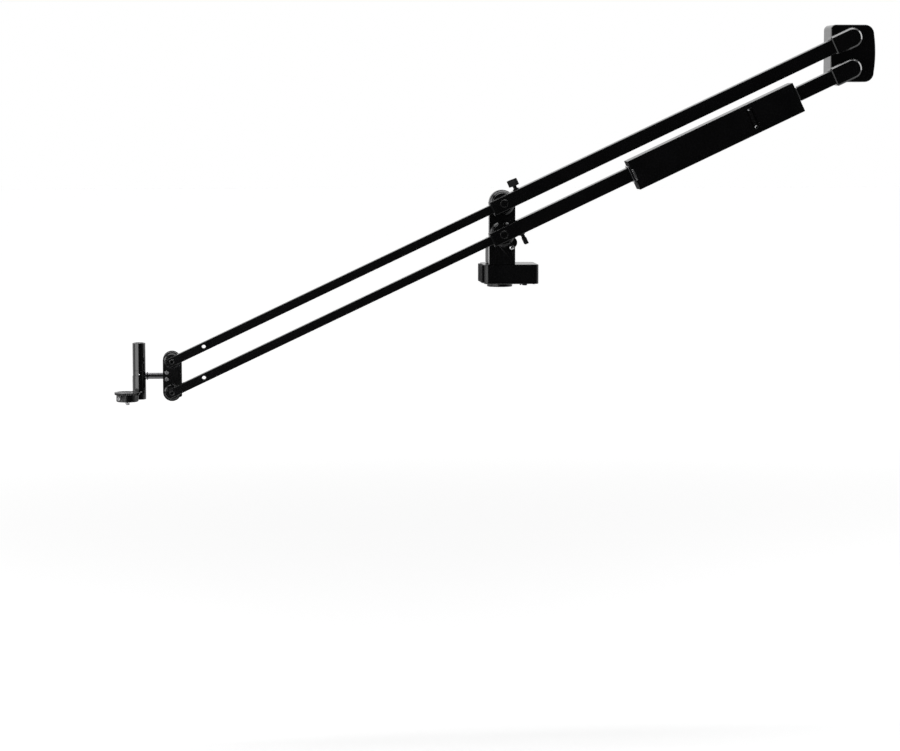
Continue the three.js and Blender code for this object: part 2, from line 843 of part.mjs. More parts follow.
function mouthBushSolid() {
  const inner = tube.frontSide + 2 * seatGap;
  const outer = tube.rearSide - 2 * tube.rearWall - 2 * seatGap;
  const mouth = -tube.mouthAhead - seatGap;
  const sleeve = fill(squareRing(outer, inner, tube.rearCorner / 2), 'x', mouth - seatGap,
    mouth + guide.bushLength);
  const flange = fill(squareRing(tube.rearSide, inner, tube.rearCorner), 'x', mouth - guide.flange, mouth);
  return join(sleeve, flange);
}

function frontTubeSolid() {
  const inner = tube.frontSide - 2 * tube.frontWall;
  const start = -frontReach - tube.frontBeyondPivot;
  const body = fill(squareRing(tube.frontSide, inner, tube.frontCorner), 'x', start + tube.endWall / 2,
    tube.frontInside);
  const end = fill(roundedBox(-frontHalf, frontHalf, -frontHalf, frontHalf, tube.frontCorner), 'x', start,
    start + tube.endWall, tube.endWall / 4);
  const stopHole = boreAlong('y', tube.stopHoleRadius, -tube.frontSide, tube.frontSide,
    [-frontReach + tube.stopHoleBehindPivot, 0, 0], smallSteps);
  return cut(join(body, end), stopHole);
}

function guideShoeSolid() {
  const outer = tube.rearSide - 2 * tube.rearWall - 2 * seatGap;
  const inner = tube.frontSide + 2 * seatGap;
  return fill(squareRing(outer, inner, tube.rearCorner / 2), 'x', tube.frontInside - guide.shoeLength,
    tube.frontInside);
}

function columnAxleSolid(withHead) {
  const near = rearHalf + seatGap;
  const shoulder = near + axle.columnFlangeThickness;
  const plateFar = rearHalf + columnFar - columnNear + seatGap + axle.columnFlangeThickness + runGap;
  const end = withHead ? plateFar + runGap + axle.endHeadThickness
    : plateFar + 1.5 * runGap + seatGap + gears.tiltWidth + seatGap + axle.endHeadThickness;
  const headLow = end - axle.endHeadThickness;
  return turn([
    [0, near], [axle.columnFlange - seatGap, near], [axle.columnFlange, near + seatGap],
    [axle.columnFlange, shoulder], [axle.columnRadius, shoulder], [axle.columnRadius, headLow],
    [axle.endHeadRadius, headLow], [axle.endHeadRadius, end], [0, end],
  ], 'y', [0, 0, 0], fineSteps);
}

function tiltGearSolid() {
  const phase = -Math.PI / 2 - boomTilt + Math.PI / gears.tiltWheelTeeth;
  const shape = gearOutline(gears.tiltModule, gears.tiltWheelTeeth, phase);
  const wheel = fill(shape, 'y', tiltGearNear, tiltGearNear + gears.tiltWidth);
  const bore = boreAlong('y', axle.columnRadius + seatGap, tiltGearNear - cutOver,
    tiltGearNear + gears.tiltWidth + cutOver, [0, 0, 0]);
  return cut(wheel, bore).translate([0, boomOffset, 0]);
}

function frontAxleSolid() {
  const near = frontHalf + seatGap;
  const shoulder = near + axle.frontFlangeThickness;
  const end = backPlateNear + front.backPlate + runGap + axle.endHeadThickness / 2;
  const headLow = end - axle.endHeadThickness / 2;
  const headRadius = front.bearingOuter - cutOver;
  return turn([
    [0, near], [axle.frontFlange, near], [axle.frontFlange, shoulder], [axle.frontRadius, shoulder],
    [axle.frontRadius, headLow], [headRadius, headLow], [headRadius, end], [0, end],
  ], 'y', [-frontReach, 0, 0]);
}

function rearSleeveSolid() {
  const shape = new THREE.Shape();
  const quarter = Math.PI / 2;
  shape.moveTo(rearReach - rear.sleeveAhead, -rear.sleeveRadius);
  shape.absarc(rearReach, 0, rear.sleeveRadius, -quarter, quarter);
  shape.lineTo(rearReach - rear.sleeveAhead, rear.sleeveRadius);
  shape.closePath();
  const body = fill(shape, 'y', -rear.sleeveHalfWidth, rear.sleeveHalfWidth, rear.sleeveEdge, domeSteps);
  const half = rearHalf + seatGap;
  const start = rearReach - rear.sleeveAhead;
  const socket = fill(roundedBox(-half, half, -half, half, tube.rearCorner), 'x', start - cutOver,
    start + rear.socketDepth + seatGap);
  const bore = boreAlong('y', axle.rearRadius + seatGap, rear.sleeveHalfWidth - rear.axleInto - seatGap,
    rear.sleeveHalfWidth + cutOver, [rearReach, 0, 0]);
  return cut(body, socket, bore);
}

function rearAxleSolid() {
  const near = rear.sleeveHalfWidth - rear.axleInto;
  const far = rearFar - rear.cover - seatGap;
  return rodAlong('y', axle.rearRadius, near, far, [rearReach, 0, 0]);
}

// Lock screw standing up from the boom axis: a stem with a washer and a flat key head
function lockScrewSolid(side, turnDegrees) {
  const tip = frontHalf + seatGap;
  const seat = rearHalf + seatGap;
  const neck = rearHalf + lock.stemOut;
  const top = neck + lock.headHeight;
  const stem = turn([
    [0, tip], [lock.stemRadius, tip], [lock.stemRadius, seat], [lock.washerRadius, seat],
    [lock.washerRadius, seat + lock.washerHeight], [lock.stemRadius, seat + lock.washerHeight],
    [lock.stemRadius, neck + lock.headHeight / 2], [0, neck + lock.headHeight / 2],
  ], 'z', [0, 0, 0], smallSteps);
  const half = lock.headWidth / 2;
  const thick = lock.headThickness / 2;
  const outline = roundedBox(-half, half, neck, top, lock.headCorner);
  const key = fill(outline, 'y', -thick, thick, lock.headCorner / 2);
  const whole = join(stem, key).rotate([0, 0, turnDegrees]).rotate([side > 0 ? 0 : 180, 0, 0]);
  return whole.translate([lock.behindPivot, 0, 0]);
}

// Front bracket, drawn about the lower front pivot

function frontNearPlateSolid() {
  const near = frontPlateNear;
  const far = near + front.plate;
  let plate = fill(stadium(0, 0, pivotSpacing, front.radius), 'y', near, far, 0, domeSteps);
  for (const height of [0, pivotSpacing]) {
    const centre = [0, 0, height];
    const lip = ringAlong('y', axle.frontFlange + 2 * runGap, front.lipRadius, near - front.lipRise,
      near + seatGap, centre, roundSteps);
    const seat = boreAlong('y', front.bearingOuter + seatGap, near - cutOver, far + cutOver, centre);
    plate = cut(join(plate, lip), seat);
  }
  return plate;
}

function frontBackPlateSolid() {
  const far = backPlateNear + front.backPlate;
  const tab = roundedBox(0, front.backRight, -front.tabDrop, pivotSpacing, front.tabCorner);
  let plate = join(
    fill(stadium(0, 0, pivotSpacing, front.radius), 'y', backPlateNear, far, 0, domeSteps),
    fill(tab, 'y', backPlateNear, far, 0, cornerSteps),
  );
  for (const height of [0, pivotSpacing]) {
    plate = cut(plate, boreAlong('y', front.bearingOuter + seatGap, backPlateNear - cutOver, far + cutOver,
      [0, 0, height]));
  }
  return plate;
}

function rodClampSolid() {
  const low = rodZ - front.blockHeight / 2;
  const half = front.blockWidth / 2;
  const block = box(-half, half, blockNear, blockNear + front.blockDepth, low, low + front.blockHeight);
  const bore = boreAlong('x', mast.rodRadius + seatGap, -half - cutOver, mast.rodIntoBlock + seatGap,
    [0, rodY, rodZ]);
  const slit = box(-half - cutOver, -half + front.slitDepth, blockNear - cutOver,
    blockNear + front.blockDepth + cutOver, rodZ - front.slitHeight / 2, rodZ + front.slitHeight / 2);
  return cut(block, bore, slit);
}

function frontBearingSolid(height) {
  return ringAlong('y', axle.frontRadius + seatGap, front.bearingOuter, frontPlateNear + seatGap,
    backPlateNear + front.backPlate - seatGap, [0, 0, height], smallSteps);
}

// Rod, mast, head arm and thumb wheel

function rodSolid() {
  const low = mastX - mast.rodIntoMast;
  return turn([
    [0, low], [mast.rodRadius, low], [mast.rodRadius, mast.rodIntoBlock], [0, mast.rodIntoBlock],
  ], 'x', [0, rodY, rodZ]);
}

const mastCentre = [mastX, rodY, 0];

function rodBore() {
  return rodAlong('x', mast.rodRadius + seatGap, mastX - mast.rodIntoMast - seatGap, 0, [0, rodY, rodZ]);
}

function mastLowerSolid() {
  const bottom = rodZ - mast.below;
  const top = rodZ + mast.joint + mast.rodRadius;
  const groove = rodZ + mast.grooveRise;
  const r = mast.lowerRadius;
  const body = turn([
    [0, bottom], [r - mast.chamfer, bottom], [r, bottom + mast.chamfer], [r, groove - mast.grooveHalf],
    [r - mast.grooveDepth, groove - mast.grooveHalf], [r - mast.grooveDepth, groove + mast.grooveHalf],
    [mast.upperRadius, groove + mast.grooveHalf], [mast.upperRadius, top], [0, top],
  ], 'z', mastCentre);
  return cut(body, rodBore());
}

function mastUpperSolid() {
  const bottom = rodZ + mast.joint + mast.rodRadius + seatGap;
  const top = rodZ + mast.above;
  const r = mast.upperRadius;
  return turn([
    [0, bottom], [r, bottom], [r, top - mast.chamfer], [r - mast.chamfer, top], [r - mast.capRim, top],
    [r - mast.capRim, top - mast.capDish], [0, top - mast.capDish],
  ], 'z', mastCentre);
}

function headArmSolid() {
  const block = turn([
    [0, headBottom], [head.blockRadius - head.edge, headBottom], [head.blockRadius, headBottom + head.edge],
    [head.blockRadius, headTop], [0, headTop],
  ], 'z', [headX, 0, 0], fineSteps);
  const run = Math.hypot(head.ahead, rodY);
  const neck = new THREE.BoxGeometry(run, head.neckWidth, head.blockBottom - head.blockTop - head.neckDrop);
  neck.translate(run / 2, 0, headTop - (head.blockBottom - head.blockTop - head.neckDrop) / 2);
  neck.rotateZ(Math.atan2(rodY, head.ahead));
  neck.translate(headX, 0, 0);
  const mastNear = rodY - mast.lowerRadius;
  const lugNear = mastNear - head.lugThickness;
  const lugFar = mastNear + head.lugThickness;
  const right = mastX + head.lugRight;
  const ledge = box(mastX - head.lugRight, right, lugNear, lugFar, headBottom + head.neckDrop, headTop);
  const lug = box(mastX + head.lugLeft, right, lugNear, lugFar, headTop - cutOver, rodZ - head.lugTop);
  const low = headBottom - cutOver;
  const seat = boreAlong('z', mast.lowerRadius + seatGap, low, rodZ, mastCentre, fineSteps);
  const bore = boreAlong('z', head.studRadius + seatGap, low, rodZ, [headX, 0, 0], smallSteps);
  return cut(join(block, toSolid(neck), ledge, lug), seat, bore);
}

const wheelLow = headTop + seatGap;

// The wheel and its threaded stud are one screw that draws the camera head up against the arm
function thumbScrewSolid() {
  const top = wheelLow + head.wheelThickness;
  const r = head.wheelRadius;
  const tip = headBottom - head.studBelow;
  return turn([
    [0, tip], [head.studRadius, tip], [head.studRadius, wheelLow],
    [r, wheelLow], [r, top - head.wheelDish], [r - head.wheelDish, top], [r - head.wheelRim, top],
    [r - head.wheelRim - head.wheelDish, top - head.wheelDish], [0, top - head.wheelDish],
  ], 'z', [headX, 0, 0], fineSteps);
}

// Rear bracket, drawn about the lower rear pivot

function rearOutline(inset) {
  const left = -rear.left + inset;
  const right = rear.right - inset;
  const low = -rear.belowLower + inset;
  const high = pivotSpacing + rear.aboveUpper - inset;
  const leftCorner = rear.leftCorner - inset;
  const rightCorner = rear.rightCorner - inset;
  const quarter = Math.PI / 2;
  const shape = new THREE.Shape();
  shape.absarc(left + leftCorner, low + leftCorner, leftCorner, Math.PI, 3 * quarter);
  shape.absarc(right - rightCorner, low + rightCorner, rightCorner, -quarter, 0);
  shape.quadraticCurveTo(right + 2 * rear.bulge, (low + high) / 2, right, high - rightCorner);
  shape.absarc(right - rightCorner, high - rightCorner, rightCorner, 0, quarter);
  shape.absarc(left + leftCorner, high - leftCorner, leftCorner, quarter, Math.PI);
  shape.closePath();
  return shape;
}

const rearSeat = rear.bearingOuter + seatGap;
const rearBoss = rearSeat + rear.bossWall;

function rearHousingSolid() {
  const far = rearFar - seatGap;
  const shell = cut(
    fill(rearOutline(0), 'y', rearNear, far, rear.wall / 2, wideCornerSteps),
    fill(rearOutline(rear.wall), 'y', rearNear + rear.nearWall, far + cutOver, 0, wideCornerSteps),
  );
  let housing = shell;
  for (const height of [0, pivotSpacing]) {
    const centre = [0, 0, height];
    const boss = rodAlong('y', rearBoss, rearNear + rear.nearWall - seatGap,
      rearNear + rear.nearWall + rear.bossDepth, centre);
    const hole = boreAlong('y', axle.rearRadius + runGap, rearNear - cutOver, far, centre);
    const seat = boreAlong('y', rearSeat, rearNear + rear.nearWall, far, centre);
    housing = cut(join(housing, boss), hole, seat);
  }
  return housing;
}

function rearCoverSolid() {
  const far = rearFar - seatGap;
  const near = far - rear.cover;
  let cover = fill(rearOutline(rear.wall + seatGap), 'y', near, far, 0, wideCornerSteps);
  for (const height of [0, pivotSpacing]) {
    const centre = [0, 0, height];
    const boss = rodAlong('y', rearBoss, near - rear.bossDepth, near + seatGap, centre);
    const seat = boreAlong('y', rearSeat, near - rear.bossDepth - cutOver, near, centre);
    cover = cut(join(cover, boss), seat);
  }
  return cover;
}

function rearBearingSolid(height) {
  return ringAlong('y', axle.rearRadius + seatGap, rear.bearingOuter, rearNear + rear.nearWall + seatGap,
    rearFar - rear.cover - 2 * seatGap, [0, 0, height], roundSteps);
}

// Counterweight, drawn along the lower boom's axis

const tubeRoom = rearHalf + runGap;

function tubeHole(low, high) {
  return box(low, high, -tubeRoom, tubeRoom, -tubeRoom, tubeRoom);
}

function weightOutline(inset) {
  const half = weight.halfWidth - inset;
  const corner = Math.max(weight.corner - inset, weight.corner / 4);
  return roundedBox(-half, half, -weight.below + inset, weight.above - inset, corner);
}

const leverRoom = {
  half: weight.leverWidth / 2 + weight.pocketMargin,
  low: -weight.leverBottom - weight.pocketMargin / 2,
  high: weight.leverTop + weight.pocketMargin / 2,
};
const leverAxisY = -weight.halfWidth + weight.pocketDepth / 2;
const leverAxisZ = weight.leverTop - weight.pinDrop;

function longCaseSolid() {
  const far = weightSeam - weight.seamGap / 2;
  const shell = cut(
    fill(weightOutline(0), 'x', weightStart, far),
    fill(weightOutline(weight.wall), 'x', weightStart + weight.endWall, far - weight.endWall),
  );
  const face = -weight.halfWidth;
  const floor = face + weight.pocketDepth;
  const liner = box(leverX - leverRoom.half - weight.pocketWall,
    leverX + leverRoom.half + weight.pocketWall / 4, face + cutOver / 2, floor + weight.pocketWall,
    leverRoom.low - weight.pocketWall, leverRoom.high + weight.pocketWall);
  const half = leverRoom.half;
  const opening = fill(stadium(leverX, leverRoom.low + half, leverRoom.high - half, half), 'y',
    face - cutOver, floor, 0, wideCornerSteps);
  const pinReach = half + weight.pinInto + seatGap;
  const pinHole = boreAlong('x', weight.pinRadius + seatGap, leverX - pinReach, leverX + pinReach,
    [0, leverAxisY, leverAxisZ], smallSteps);
  return cut(join(shell, liner), opening, pinHole, tubeHole(weightStart - cutOver, far + cutOver));
}

function shortCaseSolid() {
  const near = weightSeam + weight.seamGap / 2;
  const shell = cut(
    fill(weightOutline(0), 'x', near, weightEnd),
    fill(weightOutline(weight.wall), 'x', near + weight.endWall, weightEnd - weight.endWall),
  );
  return cut(shell, tubeHole(near - cutOver, weightEnd + cutOver));
}

// A weight hangs round the tube like an upturned saddle: two side bars on a bottom bar
function saddleSolid(from, to) {
  const inset = weight.wall + seatGap;
  const side = weight.halfWidth - inset;
  const low = -weight.below + inset;
  const high = weight.above - inset - weight.barInset;
  return join(
    box(from, to, -side, side, low, low + weight.lowerBarHeight),
    box(from, to, -side, -side + weight.barThickness, low, high),
    box(from, to, side - weight.barThickness, side, low, high),
  );
}

function longWeightSolid() {
  const end = leverX - leverRoom.half - weight.pocketWall - seatGap;
  return saddleSolid(weightStart + weight.endWall + seatGap, end);
}

function shortWeightSolid() {
  const gap = weight.endWall + seatGap;
  return saddleSolid(weightSeam + weight.seamGap / 2 + gap, weightEnd - gap);
}

function collarSolid() {
  const inner = 2 * tubeRoom;
  const outer = inner + 2 * weight.collarWall;
  return fill(squareRing(outer, inner, weight.collarCorner), 'x', weightStart - seatGap - weight.collarLength,
    weightStart - seatGap);
}

function clampLeverSolid() {
  const half = weight.leverWidth / 2;
  const near = leverAxisY - weight.leverThickness / 2;
  const far = leverAxisY + weight.leverThickness / 2;
  const body = fill(stadium(leverX, half - weight.leverBottom, weight.leverTop - half, half), 'y', near, far,
    weight.leverThickness / 6, wideCornerSteps);
  const barrel = rodAlong('x', weight.leverThickness / 2 + seatGap, leverX - half, leverX + half,
    [0, leverAxisY, leverAxisZ], smallSteps);
  const reach = leverRoom.half + weight.pinInto;
  const pin = rodAlong('x', weight.pinRadius, leverX - reach, leverX + reach,
    [0, leverAxisY, leverAxisZ], smallSteps);
  const ring = rodAlong('y', weight.leverRing, near - cutOver, far + cutOver,
    [leverX, 0, half - weight.leverBottom], smallSteps);
  return cut(join(body, barrel, pin), ring);
}

// The crane: everything that stands square, then each boom in its own turned group

const crane = new THREE.Group();

crane.add(
  node('foot', footSolid(), 'satinBlack'),
  node('pan_fixed_gear', panWheelSolid(), 'darkSteel'),
  node('spindle_nut', spindleNutSolid(), 'darkSteel'),
  node('base_housing', baseHousingSolid(), 'satinBlack'),
  node('base_bottom_plate', bottomPlateSolid(), 'satinBlack'),
  node('pan_lower_bearing', panBearingSolid(plateTop + seatGap), 'brightSteel'),
  node('pan_upper_bearing', panBearingSolid(upperBearingTop - base.bearingThickness), 'brightSteel'),
  node('pan_motor', panMotorSolid(), 'darkSteel'),
  node('pan_pinion', panPinionSolid(), 'bronze'),
  node('control_board', controlBoardSolid(), 'board'),
  node('battery_pack', batterySolid(), 'blackPlastic'),
  node('pan_lock_lever', panLockSolid(), 'blackPlastic'),
  node('column_plate', columnPlateSolid(), 'satinBlack'),
  node('column_case', columnCaseSolid(), 'satinBlack'),
  node('column_case_cover', caseCoverSolid(), 'blackPlastic'),
  node('lower_pivot_bearing', pivotBearingSolid(lowerPivotHeight), 'brightSteel'),
  node('upper_pivot_bearing', pivotBearingSolid(upperPivotHeight), 'brightSteel'),
  node('tilt_motor', tiltMotorSolid(), 'darkSteel'),
  node('tilt_pinion', tiltPinionSolid(), 'bronze'),
  node('tilt_brake_wheel', brakeWheelSolid(), 'blackPlastic'),
  node('brake_clamp_screw', clampScrewSolid(), 'brightSteel'),
);

function boomGroup(height) {
  const group = new THREE.Group();
  group.position.set(0, boomPlane, height);
  group.rotation.y = -boomTilt;
  return group;
}

function boomNodes(prefix, lockSide, lockTurnDegrees) {
  return [
    node(`${prefix}_rear_tube`, rearTubeSolid(lockSide), 'glossBlack'),
    node(`${prefix}_mouth_bush`, mouthBushSolid(), 'blackPlastic'),
    node(`${prefix}_front_tube`, frontTubeSolid(), 'glossBlack'),
    node(`${prefix}_guide_shoe`, guideShoeSolid(), 'blackPlastic'),
    node(`${prefix}_pivot_axle`, columnAxleSolid(lockSide > 0), 'darkSteel'),
    node(`${prefix}_front_axle`, frontAxleSolid(), 'darkSteel'),
    node(`${prefix}_rear_sleeve`, rearSleeveSolid(), 'glossBlack'),
    node(`${prefix}_rear_axle`, rearAxleSolid(), 'darkSteel'),
    node(`${prefix}_lock_screw`, lockScrewSolid(lockSide, lockTurnDegrees), 'blackPlastic'),
  ];
}

const lowerBoom = boomGroup(lowerPivotHeight);
lowerBoom.add(
  ...boomNodes('lower', -1, lock.lowerTurnDegrees),
  node('tilt_gear', tiltGearSolid(), 'darkSteel'),
  node('weight_long_case', longCaseSolid(), 'satinBlack'),
  node('weight_short_case', shortCaseSolid(), 'satinBlack'),
  node('long_weight', longWeightSolid(), 'cast'),
  node('short_weight', shortWeightSolid(), 'cast'),
  node('weight_collar', collarSolid(), 'darkSteel'),
  node('weight_clamp_lever', clampLeverSolid(), 'darkSteel'),
);

const upperBoom = boomGroup(upperPivotHeight);
upperBoom.add(...boomNodes('upper', 1, lock.upperTurnDegrees));

function endGroup(reach) {
  const group = new THREE.Group();
  group.position.set(reach * Math.cos(boomTilt), boomPlane, lowerPivotHeight + reach * Math.sin(boomTilt));
  return group;
}

const frontEnd = endGroup(-frontReach);
frontEnd.add(
  node('front_near_plate', frontNearPlateSolid(), 'satinBlack'),
  node('front_back_plate', frontBackPlateSolid(), 'satinBlack'),
  node('rod_clamp_block', rodClampSolid(), 'satinBlack'),
  node('lower_front_bearing', frontBearingSolid(0), 'brightSteel'),
  node('upper_front_bearing', frontBearingSolid(pivotSpacing), 'brightSteel'),
  node('mast_rod', rodSolid(), 'darkSteel'),
  node('mast_lower', mastLowerSolid(), 'satinBlack'),
  node('mast_upper', mastUpperSolid(), 'satinBlack'),
  node('head_arm', headArmSolid(), 'satinBlack'),
  node('thumb_screw', thumbScrewSolid(), 'satinBlack'),
);

const rearEnd = endGroup(rearReach);
rearEnd.add(
  node('rear_housing', rearHousingSolid(), 'glossBlack'),
  node('rear_cover', rearCoverSolid(), 'blackPlastic'),
  node('lower_rear_bearing', rearBearingSolid(0), 'brightSteel'),
  node('upper_rear_bearing', rearBearingSolid(pivotSpacing), 'brightSteel'),
);

crane.add(lowerBoom, upperBoom, frontEnd, rearEnd);

export default crane;
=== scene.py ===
# Looks of the camera jib crane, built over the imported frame. Shapes are drawn in millimetres, in the frame of
# their group, and piece() moves and scales them to metres.
import json
import math

import bmesh
import bpy
from mathutils import Matrix, Vector


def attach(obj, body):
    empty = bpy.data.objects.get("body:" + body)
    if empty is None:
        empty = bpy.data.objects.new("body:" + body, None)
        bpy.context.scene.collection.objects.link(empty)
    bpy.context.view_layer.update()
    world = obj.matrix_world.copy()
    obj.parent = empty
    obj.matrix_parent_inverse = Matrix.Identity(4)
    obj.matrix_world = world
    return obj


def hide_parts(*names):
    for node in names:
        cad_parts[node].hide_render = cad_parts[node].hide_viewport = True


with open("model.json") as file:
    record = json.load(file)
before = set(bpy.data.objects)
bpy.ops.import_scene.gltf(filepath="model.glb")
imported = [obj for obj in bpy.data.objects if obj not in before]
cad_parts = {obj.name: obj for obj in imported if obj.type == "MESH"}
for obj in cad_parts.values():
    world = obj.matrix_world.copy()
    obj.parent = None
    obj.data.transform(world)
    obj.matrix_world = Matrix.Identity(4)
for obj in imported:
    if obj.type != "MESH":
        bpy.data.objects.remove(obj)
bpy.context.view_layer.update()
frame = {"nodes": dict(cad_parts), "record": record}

# Sizes of the linkage, as in the solids
TILT = math.radians(25.2)
FRONT_REACH, REAR_REACH = 767.0, 812.0
LOWER_PIVOT, SPACING = 113.7, 65.0
UPPER_PIVOT = LOWER_PIVOT + SPACING
BOOM_PLANE = -76.0
COLUMN_NEAR, COLUMN_FAR = -50.0, -32.0
ROD_Y, ROD_Z = 33.3, 32.5
MAST_X, HEAD_X = -68.4, -92.7

# Working values
ORIGIN = (0, 0, 0)
OVER = 1  # how far a cutting tool stands past the face that it opens
FINE_STEPS, STEPS, MIDDLE_STEPS, HOLE_STEPS, SMALL_STEPS, HEXAGON = 128, 96, 64, 48, 32, 6
CORNER_STEPS, WIDE_CORNER_STEPS = 8, 16


# Outlines: lists of (u, v) points

def arc(cx, cy, radius, start, end, count):
    """Points on an arc, in degrees, both ends included."""
    points = []
    for i in range(count + 1):
        angle = math.radians(start + (end - start) * i / count)
        points.append((cx + radius * math.cos(angle), cy + radius * math.sin(angle)))
    return points


def rounded_box(u0, u1, v0, v1, radius, count=CORNER_STEPS):
    corners = [(u1 - radius, v0 + radius, -90), (u1 - radius, v1 - radius, 0),
               (u0 + radius, v1 - radius, 90), (u0 + radius, v0 + radius, 180)]
    return [point for u, v, start in corners for point in arc(u, v, radius, start, start + 90, count)]


def square(side, radius, count=CORNER_STEPS):
    half = side / 2
    return rounded_box(-half, half, -half, half, radius, count)


def stadium(u, low, high, radius, count=SMALL_STEPS):
    return arc(u, low, radius, -180, 0, count) + arc(u, high, radius, 0, 180, count)


def circle(radius):
    return arc(0, 0, radius, 0, 360, MIDDLE_STEPS)[:-1]


def knurled(u, v, radius, depth, teeth):
    """A circle with fine straight teeth round it."""
    low, points = radius - depth, []
    for i in range(teeth):
        for share, reach in ((0.0, low), (0.25, radius), (0.5, radius), (0.75, low)):
            angle = 2 * math.pi * (i + share) / teeth
            points.append((reach * math.cos(angle) + u, reach * math.sin(angle) + v))
    return points


def lip(inner, outer, face, chamfer, root):
    """The closed profile of a ring with a chamfer on the outer edge of its face."""
    return [(inner, face), (outer - chamfer, face), (outer, face + chamfer), (outer, root), (inner, root),
            (inner, face)]


# Mesh tools

def lift(axis, u, v, w):
    """A point (u, v) at height w along an axis: x takes Y and Z, y takes X and Z, z takes X and Y."""
    return {"x": (w, u, v), "y": (u, w, v), "z": (u, v, w)}[axis]


def new_object(verts, faces, name="shape"):
    mesh = bpy.data.meshes.new(name)
    mesh.from_pydata(verts, [], faces)
    bm = bmesh.new()
    bm.from_mesh(mesh)
    bmesh.ops.remove_doubles(bm, verts=bm.verts, dist=1e-4)
    bmesh.ops.recalc_face_normals(bm, faces=bm.faces)
    bm.to_mesh(mesh)
    bm.free()
    obj = bpy.data.objects.new(name, mesh)
    bpy.context.scene.collection.objects.link(obj)
    return obj


def sides(rings, looped=False):
    """Quads between rings with as many points each. Looped joins the last ring to the first."""
    count, faces = len(rings[0]), []
    for k in range(len(rings) if looped else len(rings) - 1):
        a, b = k * count, (k + 1) % len(rings) * count
        faces += [(a + i, a + (i + 1) % count, b + (i + 1) % count, b + i) for i in range(count)]
    return faces


def caps(rings):
    """The faces that close the first ring and the last."""
    count = len(rings[0])
    total = count * len(rings)
    return [tuple(range(count)), tuple(range(total - 1, total - count - 1, -1))]


def solid(rings, faces):
    return new_object([point for ring in rings for point in ring], faces)


def prism(outline, axis, low, high):
    rings = [[lift(axis, u, v, w) for u, v in outline] for w in (low, high)]
    return solid(rings, caps(rings) + sides(rings))


def pipe(outer, inner, axis, low, high):
    """A hollow section between two outlines with as many points each."""
    outlines = ((outer, low), (outer, high), (inner, high), (inner, low))
    rings = [[lift(axis, u, v, w) for u, v in outline] for outline, w in outlines]
    return solid(rings, sides(rings, looped=True))


def turned_ring(axis, centre, height, radii):
    """Points spread evenly round an axis, with a radius for each."""
    points = []
    for i, radius in enumerate(radii):
        angle = 2 * math.pi * i / len(radii)
        x, y, z = lift(axis, radius * math.cos(angle), radius * math.sin(angle), height)
        points.append((x + centre[0], y + centre[1], z + centre[2]))
    return points


def lathe(profile, axis, centre, steps=STEPS):
    """(radius, height) points turned about an axis through a centre. A closed profile makes a ring."""
    closed = profile[0] == profile[-1]
    points = profile[:-1] if closed else profile
    rings = [turned_ring(axis, centre, height, [radius] * steps) for radius, height in points]
    return solid(rings, sides(rings, looped=closed))


def rod(axis, radius, low, high, centre, edge=0.0, steps=STEPS):
    """A cylinder, with a chamfer where an edge is given."""
    if edge:
        side = [(radius - edge, low), (radius, low + edge), (radius, high - edge), (radius - edge, high)]
    else:
        side = [(radius, low), (radius, high)]
    return lathe([(0, low)] + side + [(0, high)], axis, centre, steps)


def washer(axis, inner, outer, low, high, centre):
    return lathe([(inner, low), (outer, low), (outer, high), (inner, high), (inner, low)], axis, centre)


def threaded(radius, depth, pitch, low, high, axis, centre):
    """A rod with a helical V thread: the radius falls and rises with the height's phase and the angle."""
    rows_a_turn = 6
    rows = int((high - low) / pitch * rows_a_turn)
    rings = []
    for k in range(rows + 1):
        height = low + (high - low) * k / rows
        phases = [(height / pitch - i / HOLE_STEPS) % 1.0 for i in range(HOLE_STEPS)]
        radii = [radius - depth * (1 - abs(2 * phase - 1)) for phase in phases]
        rings.append(turned_ring(axis, centre, height, radii))
    return solid(rings, sides(rings) + caps(rings))


def block(x0, x1, y0, y1, z0, z1):
    return prism([(x0, y0), (x1, y0), (x1, y1), (x0, y1)], "z", z0, z1)


def apply(obj):
    """Turns the modifiers of an object into its mesh."""
    depsgraph = bpy.context.evaluated_depsgraph_get()
    mesh = bpy.data.meshes.new_from_object(obj.evaluated_get(depsgraph))
    obj.modifiers.clear()
    old = obj.data
    obj.data = mesh
    bpy.data.meshes.remove(old)


def is_closed(mesh):
    """True where every edge has exactly two faces."""
    bm = bmesh.new()
    bm.from_mesh(mesh)
    closed = all(len(edge.link_faces) == 2 for edge in bm.edges)
    bm.free()
    return closed


def combine(whole, tool, operation, solver):
    step = whole.modifiers.new("bool", "BOOLEAN")
    step.operation = operation
    step.solver = solver
    step.object = tool
    apply(whole)


def boolean(whole, tools, operation):
    """Uses the exact solver, and the manifold one where the exact one leaves open edges."""
    for tool in tools:
        spare = whole.data.copy()
        combine(whole, tool, operation, "EXACT")
        if is_closed(whole.data):
            bpy.data.meshes.remove(spare)
        else:
            whole.data = spare
            combine(whole, tool, operation, "MANIFOLD")
        bpy.data.objects.remove(tool)


def cut(whole, *tools):
    boolean(whole, tools, "DIFFERENCE")


def join(whole, *tools):
    boolean(whole, tools, "UNION")


def round_edges(obj, width, segments, least_angle=60):
    """Rounds the edges that turn by more than an angle in degrees. One segment makes a flat chamfer."""
    step = obj.modifiers.new("edges", "BEVEL")
    step.width = width
    step.segments = segments
    step.limit_method = "ANGLE"
    step.angle_limit = math.radians(least_angle)
    apply(obj)


# Frames of the turned and moved groups

MM = Matrix.Scale(0.001, 4)
TO_MM = Matrix.Scale(1000.0, 4)


def boom_frame(height):
    return MM @ Matrix.Translation((0, BOOM_PLANE, height)) @ Matrix.Rotation(-TILT, 4, "Y")


def end_frame(reach):
    return MM @ Matrix.Translation((reach * math.cos(TILT), BOOM_PLANE, LOWER_PIVOT + reach * math.sin(TILT)))


LOWER, UPPER = boom_frame(LOWER_PIVOT), boom_frame(UPPER_PIVOT)
FRONT, REAR = end_frame(-FRONT_REACH), end_frame(REAR_REACH)


